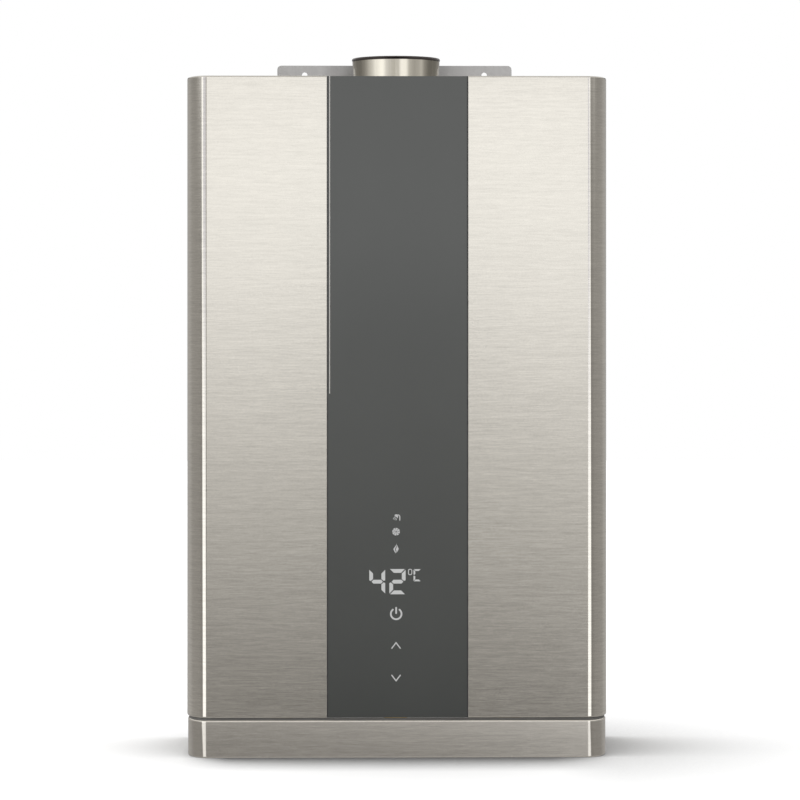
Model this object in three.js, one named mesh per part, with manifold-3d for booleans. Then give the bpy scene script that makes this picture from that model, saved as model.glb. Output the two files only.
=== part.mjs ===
// Wall-hung tankless gas water heater, in millimetres, +Z up, with the wall in the plane Y = 0 behind it.
// Every place is worked out in cabinet coordinates: Z = 0 is the lower edge of the base skirt, X = 0 the
// middle, and the front faces -Y. The last lines move the origin to the upper wall bracket.
import * as THREE from 'three';
import { mergeVertices } from 'three/addons/utils/BufferGeometryUtils.js';
import Module from 'manifold-3d';

const wasm = await Module();
wasm.setup();

// Cabinet
const bodyWidth = 360;
const bodyHeight = 580;
const bodyDepth = 165;
const bendWidth = 18;
const bendDepth = 34;
const coverSheet = 1;
const edgeRoll = 1.2;
const wallClearance = 3;
const coverLip = 16;
const trimHeight = 32;
const trimInset = 0.7;
const trimLip = 5;
const shadowGap = 2;
const casingSheet = 1;
const backStandOff = 9;
const backSideGap = 1;
const backFlange = 14;
const backFoot = 4;
const panelBorder = 26;
const panelMargin = 10;
const panelRise = 2;
const topRecess = 8;
const plateRim = 10;
const seatGap = 0.3;
const overrun = 4;

// Glass front and display
const glassWidth = 120;
const glassThickness = 4;
const glassSetBack = 0.3;
const glassChamfer = 0.4;
const windowWidth = 54;
const windowHeight = 160;
const windowSill = 54;
const guideThickness = 3;
const boardThickness = 1.6;
const trayWall = 1.6;
const trayDepth = 10;
const trayMargin = 9;
const trayClearance = 2;

// Wall brackets and screws
const bracketSheet = 1.5;
const bracketWidth = 210;
const bracketRise = 21;
const bracketCorner = 3.5;
const bracketWallFlange = 42;
const bracketStep = 8;
const bracketCabinetFlange = 32;
const bracketHoleSpacing = 161;
const bracketHoleRadius = 2.6;
const bracketHoleDrop = 8.5;
const lowerBracketFoot = 14;
const screwSideGap = 40;
const screwSetBack = 11;
const screwRadius = 2;
const screwHeadRadius = 3.8;
const screwHeadHeight = 2.6;
const screwLength = 12;
const socketRadius = 1.6;
const socketDepth = 1.4;

// Flue and fan
const flueDiameter = 76;
const flueWall = 1.2;
const flueRise = 20.5;
const flueTaper = 0.5;
const beadHeight = 2.4;
const beadRise = 0.6;
const flueFlangeRadius = 52;
const flueFlangeThickness = 2;
const gasketThickness = 2;
const flueHoleRadius = 35;
const fanWidth = 45;
const fanWall = 1.2;
const fanOffset = 28;
const scrollStart = 47;
const scrollEnd = 60;
const ductLeft = 31;
const ductRise = 68;
const eyeRadius = 30;
const impellerRadius = 42;
const impellerWidth = 34;
const bladeDepth = 8;
const bladeThickness = 0.9;
const bladeCount = 24;
const bladeSweep = 0.2;
const discThickness = 1.5;
const rotorHubRadius = 8;
const rotorHubLength = 15;
const shaftRadius = 3;
const shaftHoleRadius = 6;
const motorRadius = 27;
const motorLength = 27;
const motorBossRadius = 9;
const motorBossLength = 3;
const motorPlateRadius = 36;
const motorPlateThickness = 2;
const motorLugRadius = 6;
const switchRadius = 24;
const switchThickness = 14;
const switchDrop = 80;
const switchSideGap = 60;
const nippleRadius = 3;
const nippleLength = 9;

// Burner, combustion chamber and heat exchanger
const stackBack = 34;
const stackFrontGap = 34;
const stackSideGap = 65;
const stackWall = 1.2;
const stackDrop = 162;
const standardChamberTop = 418;
const standardChamberFoot = 248;
const standardBurnerBox = 68;
const stackFlange = 6;
const chamberCorner = 8;
const hoodHeight = 27.3;
const hoodTowerWidth = 80;
const hoodTowerHead = 42.3;
const burnerCount = 7;
const burnerSideGap = 17;
const burnerThickness = 9;
const burnerHeadroom = 16;
const burnerEndRoom = 17;
const burnerMouthRadius = 8;
const burnerThroatRadius = 5;
const burnerSlot = 5;
const portWidth = 2.4;
const portDepth = 1.2;
const portCount = 3;
const chipCount = 6;
const burnerWindowMargin = 12;
const burnerWindowHeight = 30;
const burnerWindowSill = 4;
const burnerTabWidth = 30;
const tubeShare = 0.29;
const tubeBase = 1.49;
const coilBendEase = 1;
const standardCoilStart = 285;
const coilLead = 19;
const coilRings = 2;
const riserGap = 7.7;
const exchangerSink = 24;
const exchangerTubes = 5;
const exchangerShare = 0.1959;
const finCount = 7;
const finThickness = 0.8;
const finHeight = 38;
const finSideGap = 15;
const finCorner = 5;
const exchangerDrop = 22;
const electrodeSpacing = 60;
const electrodeRise = 14;
const ceramicRadius = 4;
const ceramicLength = 24;
const ceramicCollar = 6;
const collarLength = 5;
const wireRadius = 1.3;
const wireLength = 20;
const cutoutRadius = 8;
const cutoutThickness = 7;
const cutoutPlace = 60;

// Gas train
const manifoldDepth = 12;
const manifoldHeight = 14;
const manifoldStandOff = 4;
const nozzleRadius = 3.5;
const nozzleTip = 1.6;
const nozzleLength = 8;
const manifoldTab = 11;
const fittingsStep = 12.5;
const stubSideGap = 80;
const stubRadius = 10.4;
const stubFoot = 8;
const stubBore = 6.5;
const stubChamfer = 1;
const holeClearance = 0.6;
const fittingFlangeRadius = 16;
const fittingFlangeThickness = 4;
const gasValveRise = 60;
const gasValveHeight = 45;
const gasValveWidth = 62;
const gasValveDepth = 50;
const gasValveFillet = 6;
const solenoidRadius = 13;
const solenoidLength = 30;
const solenoidSpacing = 30;
const plungerRadius = 5;
const plungerLength = 28;
const plungerProud = 1.5;
const plungerTravel = 2.5;
const gasPipeRadius = 7;
const gasPipeLegs = 3;
const gasPipeBendShare = 0.62;

// Water train
const valveRadius = 17;
const valveTop = 112;
const valveWaist = 13;
const valveNeck = 10;
const turbineChamberRadius = 12;
const turbineChamberFoot = 64;
const turbineChamberHeight = 15;
const turbineRadius = 11.4;
const turbineHubRadius = 4;
const turbineBlades = 6;
const turbineBladeThickness = 1.4;
const turbineEndGap = 0.4;
const plugRadius = 9;
const plugLength = 13;
const plugHeadRadius = 11;
const plugHeadLength = 5;
const plugHeight = 54;
const plugSides = 6;
const outletTop = 92;
const outletRadius = 12;
const reliefRadius = 8;
const reliefLength = 15;
const reliefHeight = 76;
const reliefLever = 20;
const reliefLeverThickness = 2;
const riserStep = 10;
const standardInletJoin = 240;
const riserBendEase = 4;
const crossRise = 4;
const legShare = 0.42;

// Electrics
const controllerSideGap = 8;
const controllerInner = 50;
const controllerStep = 42;
const controllerFrontGap = 20;
const controllerHeadroom = 15;
const controllerWall = 2;
const lidThickness = 2;
const lidRib = 1;
const lidRibCount = 5;
const controlBoardMargin = 6;
const chipShare = 0.2727;
const igniterSideGap = 10;
const igniterCoilGap = 2.7;
const igniterDepth = 28;
const igniterStep = 10;
const igniterHeight = 50;
const igniterFillet = 4;
const glandSideGap = 32;
const glandStep = 20;
const glandRadius = 8;
const glandHeadRadius = 11;
const glandHeadHeight = 8;
const glandBore = 4;
const glandRise = 14;

// Air slots of the bottom plate
const slotWidth = 4;
const slotFrontGap = 38;
const slotStep = 23;
const slotPitch = 11;
const slotRows = 10;

// Facets
const fullTurn = 2 * Math.PI;
const degreesInTurn = 360;
const roundSides = 28;
const smallSides = 10;
const venturiSides = 6;
const tubeSides = 8;
const bendSteps = 2;
const curveParts = 4;
const bladeParts = 2;
const filletParts = 2;
const plainParts = 1;
const scrollParts = 20;

// Levels and planes that several pieces share
const coverBottom = trimHeight + shadowGap;
const frontPlane = -bodyDepth;
const backRear = -backStandOff;
const backFront = backRear - casingSheet;
const backHalf = bodyWidth / 2 - coverSheet - backSideGap;
const plateInset = coverSheet + backSideGap + casingSheet + seatGap;
const lipsEnd = backFront - backFlange - overrun;
const bottomUnder = coverBottom + coverSheet + seatGap;
const bottomTop = bottomUnder + casingSheet;
const topFace = bodyHeight - topRecess;
const glassFront = frontPlane + glassSetBack;
const glassBack = glassFront + glassThickness;
const channelFloor = glassBack + seatGap;
const traySeat = channelFloor + coverSheet + seatGap;
const trayBack = traySeat + trayDepth;
const bracketTop = bodyHeight + bracketRise;
const mountHeight = bracketTop - bracketHoleDrop;
const stackWidth = bodyWidth - 2 * stackSideGap;
const stackDepth = bodyDepth - stackBack - stackFrontGap;
const stackRear = -stackBack;
const stackFront = -(stackBack + stackDepth);
const chamberTop = bodyHeight - stackDrop;
const stretch = chamberTop / standardChamberTop;
const chamberFoot = standardChamberFoot * stretch;
const burnerFoot = chamberFoot - standardBurnerBox * stretch;
const burnerSpan = stackWidth - 2 * burnerSideGap;
const flueY = -(stackBack + stackDepth / 2);
const flueRadius = flueDiameter / 2;
const ductTop = topFace - casingSheet - seatGap;
const fanZ = ductTop - ductRise;
const exchangerHeight = chamberTop - exchangerSink;
const exchangerPitch = stackDepth * exchangerShare;
const tubeRadius = tubeBase + exchangerPitch * tubeShare;
const coilStart = standardCoilStart * stretch;
const coilEnd = exchangerHeight - exchangerDrop - coilLead;
const coilX = stackWidth / 2 + seatGap + tubeRadius;
const coilBend = chamberCorner + tubeRadius - coilBendEase;
const riserReach = coilX + 2 * tubeRadius + riserGap;
const crossLevel = burnerFoot + crossRise;
const coilFront = stackFront - seatGap - tubeRadius;
const coilRear = stackRear + seatGap + tubeRadius;
const manifoldRear = stackFront - manifoldStandOff;
const nozzleZ = burnerFoot + stackWall + 2 * seatGap + burnerMouthRadius;
const fittingSeat = bottomTop + seatGap;
const fittingsSetBack = stackBack + stackDepth / 2 - fittingsStep;
const stubSpacing = bodyWidth / 2 - stubSideGap;
const inletRiserSetBack = fittingsSetBack - riserStep;
const inletJoin = standardInletJoin * stretch;
const controllerBack = fittingsSetBack + controllerStep;
const controllerDepth = bodyDepth - controllerFrontGap - controllerBack;
const controllerTop = burnerFoot - controllerHeadroom;
const chipHeight = controllerDepth * chipShare;
const glandPlace = bodyWidth / 2 - glandSideGap;
const glandSetBack = fittingsSetBack - glandStep;

/** The stretch of the given width around a middle. */
function around(middle, width) {
  return [middle - width / 2, middle + width / 2];
}

/** A closed three.js geometry as a solid that can be joined and cut. */
function solid(geometry) {
  const bare = geometry.clone();
  bare.deleteAttribute('normal');
  bare.deleteAttribute('uv');
  const merged = mergeVertices(bare);
  const corners = merged.index.array;
  const triangles = [];
  for (let i = 0; i < corners.length; i += 3) {
    const [a, b, c] = corners.slice(i, i + 3);
    if (a !== b && b !== c && c !== a) triangles.push(a, b, c);
  }
  const vertProperties = new Float32Array(merged.attributes.position.array);
  const triVerts = new Uint32Array(triangles);
  return new wasm.Manifold(new wasm.Mesh({ numProp: 3, vertProperties, triVerts }));
}

/** A solid back as a flat-shaded geometry. */
function geometryOf(shape) {
  const mesh = shape.getMesh();
  const geometry = new THREE.BufferGeometry();
  geometry.setAttribute('position', new THREE.BufferAttribute(new Float32Array(mesh.vertProperties), 3));
  geometry.setIndex(new THREE.BufferAttribute(new Uint32Array(mesh.triVerts), 1));
  const flat = geometry.toNonIndexed();
  flat.computeVertexNormals();
  return flat;
}

function joined(shapes) {
  return shapes.reduce((whole, shape) => whole.add(shape));
}

function block(x, y, z) {
  const geometry = new THREE.BoxGeometry(x[1] - x[0], y[1] - y[0], z[1] - z[0]);
  geometry.translate((x[0] + x[1]) / 2, (y[0] + y[1]) / 2, (z[0] + z[1]) / 2);
  return solid(geometry);
}

/** Turns a geometry made along its own Y axis to run along the named axis. */
function alongAxis(geometry, axis) {
  if (axis === 'x') geometry.rotateZ(-fullTurn / 4);
  if (axis === 'z') geometry.rotateX(fullTurn / 4);
  return geometry;
}

/** A round bar along an axis, between two places on it, through the point at. */
function bar(axis, radius, span, at, sides = smallSides) {
  const geometry = new THREE.CylinderGeometry(radius, radius, span[1] - span[0], sides);
  geometry.translate(0, (span[0] + span[1]) / 2, 0);
  return solid(alongAxis(geometry, axis).translate(...at));
}

/** A turned piece: the profile holds [radius, place along the axis] pairs. */
function turned(axis, profile, at, sides = smallSides) {
  const points = profile.map(([radius, place]) => new THREE.Vector2(radius, place));
  const geometry = new THREE.LatheGeometry(points, sides);
  return solid(alongAxis(geometry, axis).translate(...at));
}

/** A turned piece with a hole through it: the profile closes on itself. */
function ring(axis, profile, at, sides = smallSides) {
  return turned(axis, [...profile, profile[0]], at, sides);
}

/** An outline of [u, v] pairs. */
function outline(pairs) {
  return new THREE.Shape(pairs.map(([u, v]) => new THREE.Vector2(u, v)));
}

/** An outline extruded along X (drawn in Y and Z), Y (in X and Z) or Z (in X and Y). */
function extruded(axis, shape, span, curveSegments = filletParts) {
  const depth = span[1] - span[0];
  const geometry = new THREE.ExtrudeGeometry(shape, { depth, curveSegments, bevelEnabled: false });
  if (axis === 'z') geometry.translate(0, 0, span[0]);
  if (axis === 'y') geometry.rotateX(fullTurn / 4).translate(0, span[1], 0);
  if (axis === 'x') {
    geometry.rotateX(fullTurn / 4).rotateZ(fullTurn / 4).translate(span[0], 0, 0);
  }
  return solid(geometry);
}

/** A rectangle with rounded corners. */
function roundedRectangle(u, v, radius) {
  const shape = new THREE.Shape();
  shape.absarc(u[1] - radius, v[0] + radius, radius, -fullTurn / 4, 0);
  shape.absarc(u[1] - radius, v[1] - radius, radius, 0, fullTurn / 4);
  shape.absarc(u[0] + radius, v[1] - radius, radius, fullTurn / 4, fullTurn / 2);
  shape.absarc(u[0] + radius, v[0] + radius, radius, fullTurn / 2, (3 * fullTurn) / 4);
  shape.closePath();
  return shape;
}

/** A round pipe's centre line: straight runs between corners, each corner turned by an arc. */
class PipeRun extends THREE.Curve {
  constructor(corners, bend) {
    super();
    const points = corners.map((corner) => new THREE.Vector3(...corner));
    this.stations = [points[0]];
    for (let i = 1; i < points.length - 1; i += 1) {
      this.addBend(points[i - 1], points[i], points[i + 1], bend);
    }
    this.stations.push(points[points.length - 1]);
  }

  addBend(before, corner, after, bend) {
    const back = before.clone().sub(corner).normalize();
    const ahead = after.clone().sub(corner).normalize();
    const halfAngle = back.angleTo(ahead) / 2;
    const bisector = back.clone().add(ahead).normalize();
    const centre = corner.clone().addScaledVector(bisector, bend / Math.sin(halfAngle));
    const start = corner.clone().addScaledVector(back, bend / Math.tan(halfAngle)).sub(centre);
    const axis = back.clone().cross(ahead).normalize();
    const turn = -(fullTurn / 2 - 2 * halfAngle);
    for (let step = 0; step <= bendSteps; step += 1) {
      const arm = start.clone().applyAxisAngle(axis, (turn * step) / bendSteps);
      const last = this.stations[this.stations.length - 1];
      const station = centre.clone().add(arm);
      if (station.distanceTo(last) > bend / bendSteps ** 2) this.stations.push(station);
    }
  }

  getPoint(t) {
    const place = t * (this.stations.length - 1);
    const index = Math.min(Math.floor(place), this.stations.length - 2);
    return this.stations[index].clone().lerp(this.stations[index + 1], place - index);
  }

  getPointAt(t) {
    return this.getPoint(t);
  }

  getTangentAt(t) {
    const last = this.stations.length - 1;
    const index = Math.round(t * last);
    const before = this.stations[Math.max(index - 1, 0)];
    const here = this.stations[index];
    const after = this.stations[Math.min(index + 1, last)];
    const arriving = here.clone().sub(before).normalize();
    const leaving = after.clone().sub(here).normalize();
    return arriving.add(leaving).normalize();
  }
}

/** A pipe along a run of corners. */
function pipe(corners, radius, bend, sides = tubeSides) {
  const run = new PipeRun(corners, bend);
  const section = new THREE.Shape();
  section.absarc(0, 0, radius, 0, fullTurn);
  const geometry = new THREE.ExtrudeGeometry(section, {
    steps: run.stations.length - 1,
    curveSegments: sides / 2,
    extrudePath: run,
  });
  return solid(geometry);
}

/** The cabinet's plan outline, moved in by an inset: straight sides, elliptical bends, flat front. */
function planOutline(inset, rear) {
  const half = bodyWidth / 2 - inset;
  const front = frontPlane + inset;
  const wide = Math.max(bendWidth - inset, coverSheet);
  const deep = Math.max(bendDepth - inset, coverSheet);
  const shape = new THREE.Shape();
  shape.moveTo(-half, rear);
  shape.lineTo(-half, front + deep);
  shape.absellipse(wide - half, front + deep, wide, deep, fullTurn / 2, (3 * fullTurn) / 4);
  shape.absellipse(half - wide, front + deep, wide, deep, (3 * fullTurn) / 4, fullTurn);
  shape.lineTo(half, rear);
  shape.closePath();
  return shape;
}

/** A prism of the plan outline, with its upper and lower edges rolled where a roll is given. */
function planPrism(inset, rear, z, roll = 0) {
  const geometry = new THREE.ExtrudeGeometry(planOutline(inset, rear), {
    depth: z[1] - z[0] - 2 * roll,
    curveSegments: curveParts,
    bevelEnabled: roll > 0,
    bevelThickness: roll,
    bevelSize: roll,
    bevelOffset: -roll,
    bevelSegments: filletParts,
  });
  geometry.translate(0, 0, z[0] + roll);
  return solid(geometry);
}

/** A sheet wrapped round the front and sides, with lips turned in at the top and the bottom. */
function wrappedSheet(inset, z, lip) {
  const outer = planPrism(inset, -wallClearance, z, edgeRoll);
  const inside = [z[0] + coverSheet, z[1] - coverSheet];
  const through = [z[0] - overrun, z[1] + overrun];
  const inner = planPrism(inset + coverSheet, overrun, inside);
  const mouth = planPrism(inset + lip, overrun, through);
  const half = bodyWidth / 2 - inset - coverSheet;
  const rearRelief = block([-half, half], [lipsEnd, overrun], through);
  return outer.subtract(inner).subtract(mouth).subtract(rearRelief);
}

/** The wrapped cover, with the channel that the glass lies in and a window for the display. */
function frontCover() {
  const z = [coverBottom, bodyHeight];
  const through = [z[0] - overrun, z[1] + overrun];
  const channel = glassWidth / 2 + seatGap;
  const floorBack = channelFloor + coverSheet;
  const channelWall = block(
    [-channel - coverSheet, channel + coverSheet],
    [frontPlane + coverSheet / 2, floorBack],
    [z[0] + coverSheet / 2, z[1] - coverSheet / 2],
  );
  const channelSpace = block([-channel, channel], [frontPlane - overrun, channelFloor], through);
  const opening = block(
    around(0, windowWidth),
    [frontPlane, floorBack + overrun],
    [windowSill, windowSill + windowHeight],
  );
  const slots = screwPlaces().map((x) => lipSlot(x));
  return wrappedSheet(0, z, coverLip)
    .add(channelWall)
    .subtract(channelSpace)
    .subtract(opening)
    .subtract(joined(slots));
}

function screwPlaces() {
  const place = bodyWidth / 2 - screwSideGap;
  return [-place, place];
}

/** A slot in the cover's lower lip, open to the rear, so that the cover pulls forward off its screw. */
function lipSlot(x) {
  const radius = screwRadius + seatGap;
  const y = frontPlane + screwSetBack;
  const z = [coverBottom - overrun, coverBottom + coverSheet + seatGap / 2];
  const end = bar('z', radius, z, [x, y, 0]);
  return end.add(block([x - radius, x + radius], [y, frontPlane + coverLip + overrun], z));
}

/** The glass slab: a hair behind the steel's face, its long front edges chamfered. */
function glassPanel() {
  const x = glassWidth / 2;
  const section = outline([
    [-x, glassBack],
    [-x, glassFront + glassChamfer],
    [glassChamfer - x, glassFront],
    [x - glassChamfer, glassFront],
    [x, glassFront + glassChamfer],
    [x, glassBack],
  ]);
  return extruded('z', section, [coverBottom + seatGap, bodyHeight - seatGap]);
}

function lightGuide() {
  const front = glassBack + seatGap;
  const x = [-windowWidth / 2 + seatGap, windowWidth / 2 - seatGap];
  const z = [windowSill + seatGap, windowSill + windowHeight - seatGap];
  return extruded('y', roundedRectangle(x, z, guideThickness), [front, front + guideThickness]);
}

function displayBoard() {
  const front = glassBack + guideThickness + 2 * seatGap;
  const margin = trayMargin - trayWall - seatGap;
  const x = around(0, windowWidth + 2 * margin);
  const z = [windowSill - margin, windowSill + windowHeight + margin];
  return block(x, [front, front + boardThickness], z);
}

/** The tray that closes the display board in from behind. */
function displayTray() {
  const x = windowWidth / 2 + trayMargin;
  const z = [windowSill - trayMargin, windowSill + windowHeight + trayMargin];
  const outer = extruded('y', roundedRectangle([-x, x], z, trayWall * 2), [traySeat, trayBack]);
  const inner = block(
    [trayWall - x, x - trayWall],
    [traySeat - overrun, trayBack - trayWall],
    [z[0] + trayWall, z[1] - trayWall],
  );
  return outer.subtract(inner);
}

function baseTrim() {
  return wrappedSheet(trimInset, [0, trimHeight], trimLip);
}

/** The back plate: a sheet with forward side flanges and a pressed field. */
function backPlate() {
  const z = [backFoot, topFace];
  const sheet = block([-backHalf, backHalf], [backFront, backRear], z);
  const sides = [-1, 1].map((side) => {
    const inner = side * (backHalf - casingSheet);
    const x = [inner, side * backHalf].sort((a, b) => a - b);
    return block(x, [backFront - backFlange, backFront + casingSheet / 2], z);
  });
  const reach = bracketWallFlange + bracketStep + bracketCabinetFlange + panelMargin;
  const field = (inset, y) => {
    const x = [panelBorder + inset - backHalf, backHalf - panelBorder - inset];
    const fieldZ = [lowerBracketFoot + reach + inset, bracketTop - reach - inset];
    return extruded('y', roundedRectangle(x, fieldZ, panelBorder / 2), y);
  };
  const raised = field(0, [backFront - panelRise, backFront + casingSheet / 2]);
  const pressed = field(casingSheet, [backFront - panelRise + casingSheet, backRear + overrun]);
  return joined([sheet, ...sides, raised]).subtract(pressed);
}

/** A casing plate with a rim, cut back where the display tray hangs on the cover. */
function casingPlate(z, rim) {
  const rear = backFront - seatGap;
  const plate = planPrism(plateInset, rear, z);
  const skirt = planPrism(plateInset, rear, rim);
  const hollow = planPrism(plateInset + casingSheet, overrun, rim);
  const relief = glassWidth / 2 + trayMargin;
  const cutBack = block(
    [-relief, relief],
    [frontPlane - overrun, trayBack + trayClearance],
    [Math.min(z[0], rim[0]) - overrun, Math.max(z[1], rim[1]) + overrun],
  );
  return plate.add(skirt.subtract(hollow)).subtract(cutBack);
}

function topPlate() {
  const z = [topFace - casingSheet, topFace];
  const rim = [topFace - casingSheet - plateRim, topFace - casingSheet / 2];
  const hole = bar('z', flueHoleRadius, [z[0] - overrun, z[1] + overrun], [0, flueY, 0], roundSides);
  return casingPlate(z, rim).subtract(hole);
}

function bottomPlate() {
  const rim = [bottomTop - casingSheet / 2, bottomTop + plateRim];
  const cut = [bottomUnder - overrun, bottomTop + overrun];
  const stubs = [-stubSpacing, 0, stubSpacing].map((x) => (
    bar('z', stubRadius + holeClearance, cut, [x, -fittingsSetBack, 0])
  ));
  const gland = bar('z', glandRadius + seatGap, cut, [glandPlace, -glandSetBack, 0]);
  const screws = screwPlaces().map((x) => (
    bar('z', screwRadius + seatGap, cut, [x, frontPlane + screwSetBack, 0])
  ));
  const holes = joined([...stubs, gland, ...screws, airSlots(cut)]);
  return casingPlate([bottomUnder, bottomTop], rim).subtract(holes);
}

/** The rows of air slots in the bottom plate, beneath the burner. */
function airSlots(z) {
  const slots = [];
  for (let row = 0; row < slotRows; row += 1) {
    const x = (row - (slotRows - 1) / 2) * slotPitch;
    const y = [slotFrontGap - bodyDepth, -fittingsSetBack - slotStep];
    slots.push(block(around(x, slotWidth), y, z));
  }
  return joined(slots);
}

/** A wall bracket: a flange on the wall, a joggle, and a flange behind the back plate. */
function wallBracket(wallEnd, direction) {
  const cabinetFace = backRear + seatGap;
  const bendZ = wallEnd - direction * bracketWallFlange;
  const stepZ = bendZ - direction * bracketStep;
  const endZ = stepZ - direction * bracketCabinetFlange;
  const section = outline([
    [0, wallEnd],
    [0, bendZ - direction * bracketSheet / 2],
    [cabinetFace + bracketSheet, stepZ - direction * bracketSheet / 2],
    [cabinetFace + bracketSheet, endZ],
    [cabinetFace, endZ],
    [cabinetFace, stepZ + direction * bracketSheet / 2],
    [-bracketSheet, bendZ + direction * bracketSheet / 2],
    [-bracketSheet, wallEnd],
  ]);
  const x = around(0, bracketWidth);
  const z = [Math.min(wallEnd, endZ), Math.max(wallEnd, endZ)];
  const face = extruded('y', roundedRectangle(x, z, bracketCorner), [cabinetFace - overrun, overrun]);
  const holeZ = wallEnd - direction * bracketHoleDrop;
  const holes = [-1, 1].map((side) => (
    bar('y', bracketHoleRadius, [-overrun, overrun], [side * bracketHoleSpacing / 2, 0, holeZ])
  ));
  return extruded('x', section, x).intersect(face).subtract(joined(holes));
}

/** A pan-head screw with a socket, head down, through the cover's lip into the bottom plate. */
function coverScrew(x) {
  const headTop = coverBottom - seatGap;
  const headFoot = headTop - screwHeadHeight;
  const profile = [
    [0, headFoot + socketDepth],
    [socketRadius, headFoot + socketDepth],
    [socketRadius, headFoot],
    [screwHeadRadius - screwHeadHeight / 4, headFoot],
    [screwHeadRadius, headFoot + screwHeadHeight / 2],
    [screwHeadRadius, headTop],
    [screwRadius, headTop],
    [screwRadius, headTop + screwLength - screwRadius],
    [screwRadius / 2, headTop + screwLength],
    [0, headTop + screwLength],
  ];
  return turned('z', profile, [x, frontPlane + screwSetBack, 0], tubeSides);
}

/** The cable gland in the bottom plate, with its dome nut below. */
function cableGland() {
  const seat = bottomUnder - seatGap;
  const profile = [
    [glandBore, seat - glandHeadHeight],
    [glandHeadRadius - glandHeadHeight / 4, seat - glandHeadHeight],
    [glandHeadRadius, seat - glandHeadHeight / 2],
    [glandHeadRadius, seat],
    [glandRadius, seat],
    [glandRadius, seat + glandRise],
    [glandBore, seat + glandRise],
  ];
  return ring('z', profile, [glandPlace, -glandSetBack, 0]);
}

/** The flue spigot: a slightly tapered tube with a bead at its rim and a flange at its foot. */
function flueCollar() {
  const foot = topFace + gasketThickness + 2 * seatGap;
  const top = bodyHeight + flueRise;
  const profile = [
    [flueRadius - flueWall, foot],
    [flueFlangeRadius, foot],
    [flueFlangeRadius, foot + flueFlangeThickness],
    [flueRadius - flueTaper, foot + flueFlangeThickness],
    [flueRadius, top - beadHeight],
    [flueRadius + beadRise, top - beadHeight / 2],
    [flueRadius, top],
    [flueRadius - flueWall, top],
  ];
  return ring('z', profile, [0, flueY, 0], roundSides);
}

function flueGasket() {
  const foot = topFace + seatGap;
  const profile = [
    [flueHoleRadius, foot],
    [flueFlangeRadius, foot],
    [flueFlangeRadius, foot + gasketThickness],
    [flueHoleRadius, foot + gasketThickness],
  ];
  return ring('z', profile, [0, flueY, 0], roundSides / 2);
}

/** The scroll's outline: a spiral that opens into the duct up to the flue, grown by the wall. */
function scrollOutline(grow, top) {
  const first = Math.acos((fanOffset - ductLeft) / scrollStart);
  const points = [];
  for (let i = 0; i <= scrollParts; i += 1) {
    const angle = first + ((fullTurn - first) * i) / scrollParts;
    const radius = grow + scrollStart + ((scrollEnd - scrollStart) * i) / scrollParts;
    points.push([radius * Math.cos(angle) - fanOffset, fanZ + radius * Math.sin(angle)]);
  }
  points.push([scrollEnd + grow - fanOffset, top], [-ductLeft - grow, top]);
  return outline(points);
}

/** The fan housing: a hollow scroll with an eye at the rear and a shaft hole in front. */
function fanHousing() {
  const y = around(flueY, fanWidth);
  const shell = extruded('y', scrollOutline(fanWall, ductTop), y);
  const space = extruded('y', scrollOutline(0, ductTop + overrun), [y[0] + fanWall, y[1] - fanWall]);
  const centre = [-fanOffset, 0, fanZ];
  const eye = bar('y', eyeRadius, [y[1] - fanWall - overrun, y[1] + overrun], centre, roundSides);
  const shaftHole = bar('y', shaftHoleRadius, [y[0] - overrun, y[0] + fanWall + overrun], centre);
  return shell.subtract(space).subtract(eye).subtract(shaftHole);
}

/** One forward-curved blade, as an outline around the wheel's centre. */
function bladeOutline(turn) {
  const inner = impellerRadius - bladeDepth;
  const faces = [[], []];
  for (let i = 0; i <= bladeParts; i += 1) {
    const share = i / bladeParts;
    const radius = inner + (bladeDepth - seatGap) * share;
    const angle = turn + bladeSweep * share ** 2;
    const half = bladeThickness / 2 / radius;
    faces[0].push([radius * Math.cos(angle - half), radius * Math.sin(angle - half)]);
    faces[1].unshift([radius * Math.cos(angle + half), radius * Math.sin(angle + half)]);
  }
  return outline([...faces[0], ...faces[1]]);
}

/** The fan wheel: a back disc on a hub, a ring of curved blades, and a shroud ring at the eye. */
function fanImpeller() {
  const y = around(flueY, impellerWidth);
  const disc = bar('y', impellerRadius, [y[0], y[0] + discThickness], [0, 0, 0], roundSides);
  const hub = bar('y', rotorHubRadius, [y[0], y[0] + rotorHubLength], [0, 0, 0]);
  const shroudProfile = [
    [impellerRadius - bladeDepth, y[1] - discThickness],
    [impellerRadius, y[1] - discThickness],
    [impellerRadius, y[1]],
    [impellerRadius - bladeDepth, y[1]],
  ];
  const shroud = ring('y', shroudProfile, [0, 0, 0], roundSides);
  const blades = [];
  for (let i = 0; i < bladeCount; i += 1) {
    const span = [y[0] + discThickness / 2, y[1] - discThickness / 2];
    blades.push(extruded('y', bladeOutline((fullTurn * i) / bladeCount), span));
  }
  const bore = bar('y', shaftRadius + seatGap, [y[0] - overrun, y[1]], [0, 0, 0]);
  return joined([disc, hub, shroud, ...blades]).subtract(bore).translate([-fanOffset, 0, fanZ]);
}

function motorFace() {
  return flueY - fanWidth / 2 - seatGap - motorPlateThickness - seatGap;
}

function fanShaft() {
  const front = motorFace() - motorLength;
  const rear = flueY - impellerWidth / 2 + rotorHubLength;
  return bar('y', shaftRadius, [front, rear], [-fanOffset, 0, fanZ]);
}

/** The motor can: a drum with a bearing boss, bored for its shaft. */
function fanMotor() {
  const rear = motorFace();
  const front = rear - motorLength;
  const bore = shaftRadius + seatGap;
  const profile = [
    [bore, front - motorBossLength],
    [motorBossRadius, front - motorBossLength],
    [motorBossRadius, front],
    [motorRadius - motorBossLength, front],
    [motorRadius, front + motorBossLength],
    [motorRadius, rear],
    [bore, rear],
  ];
  return ring('y', profile, [-fanOffset, 0, fanZ], roundSides);
}

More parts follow.
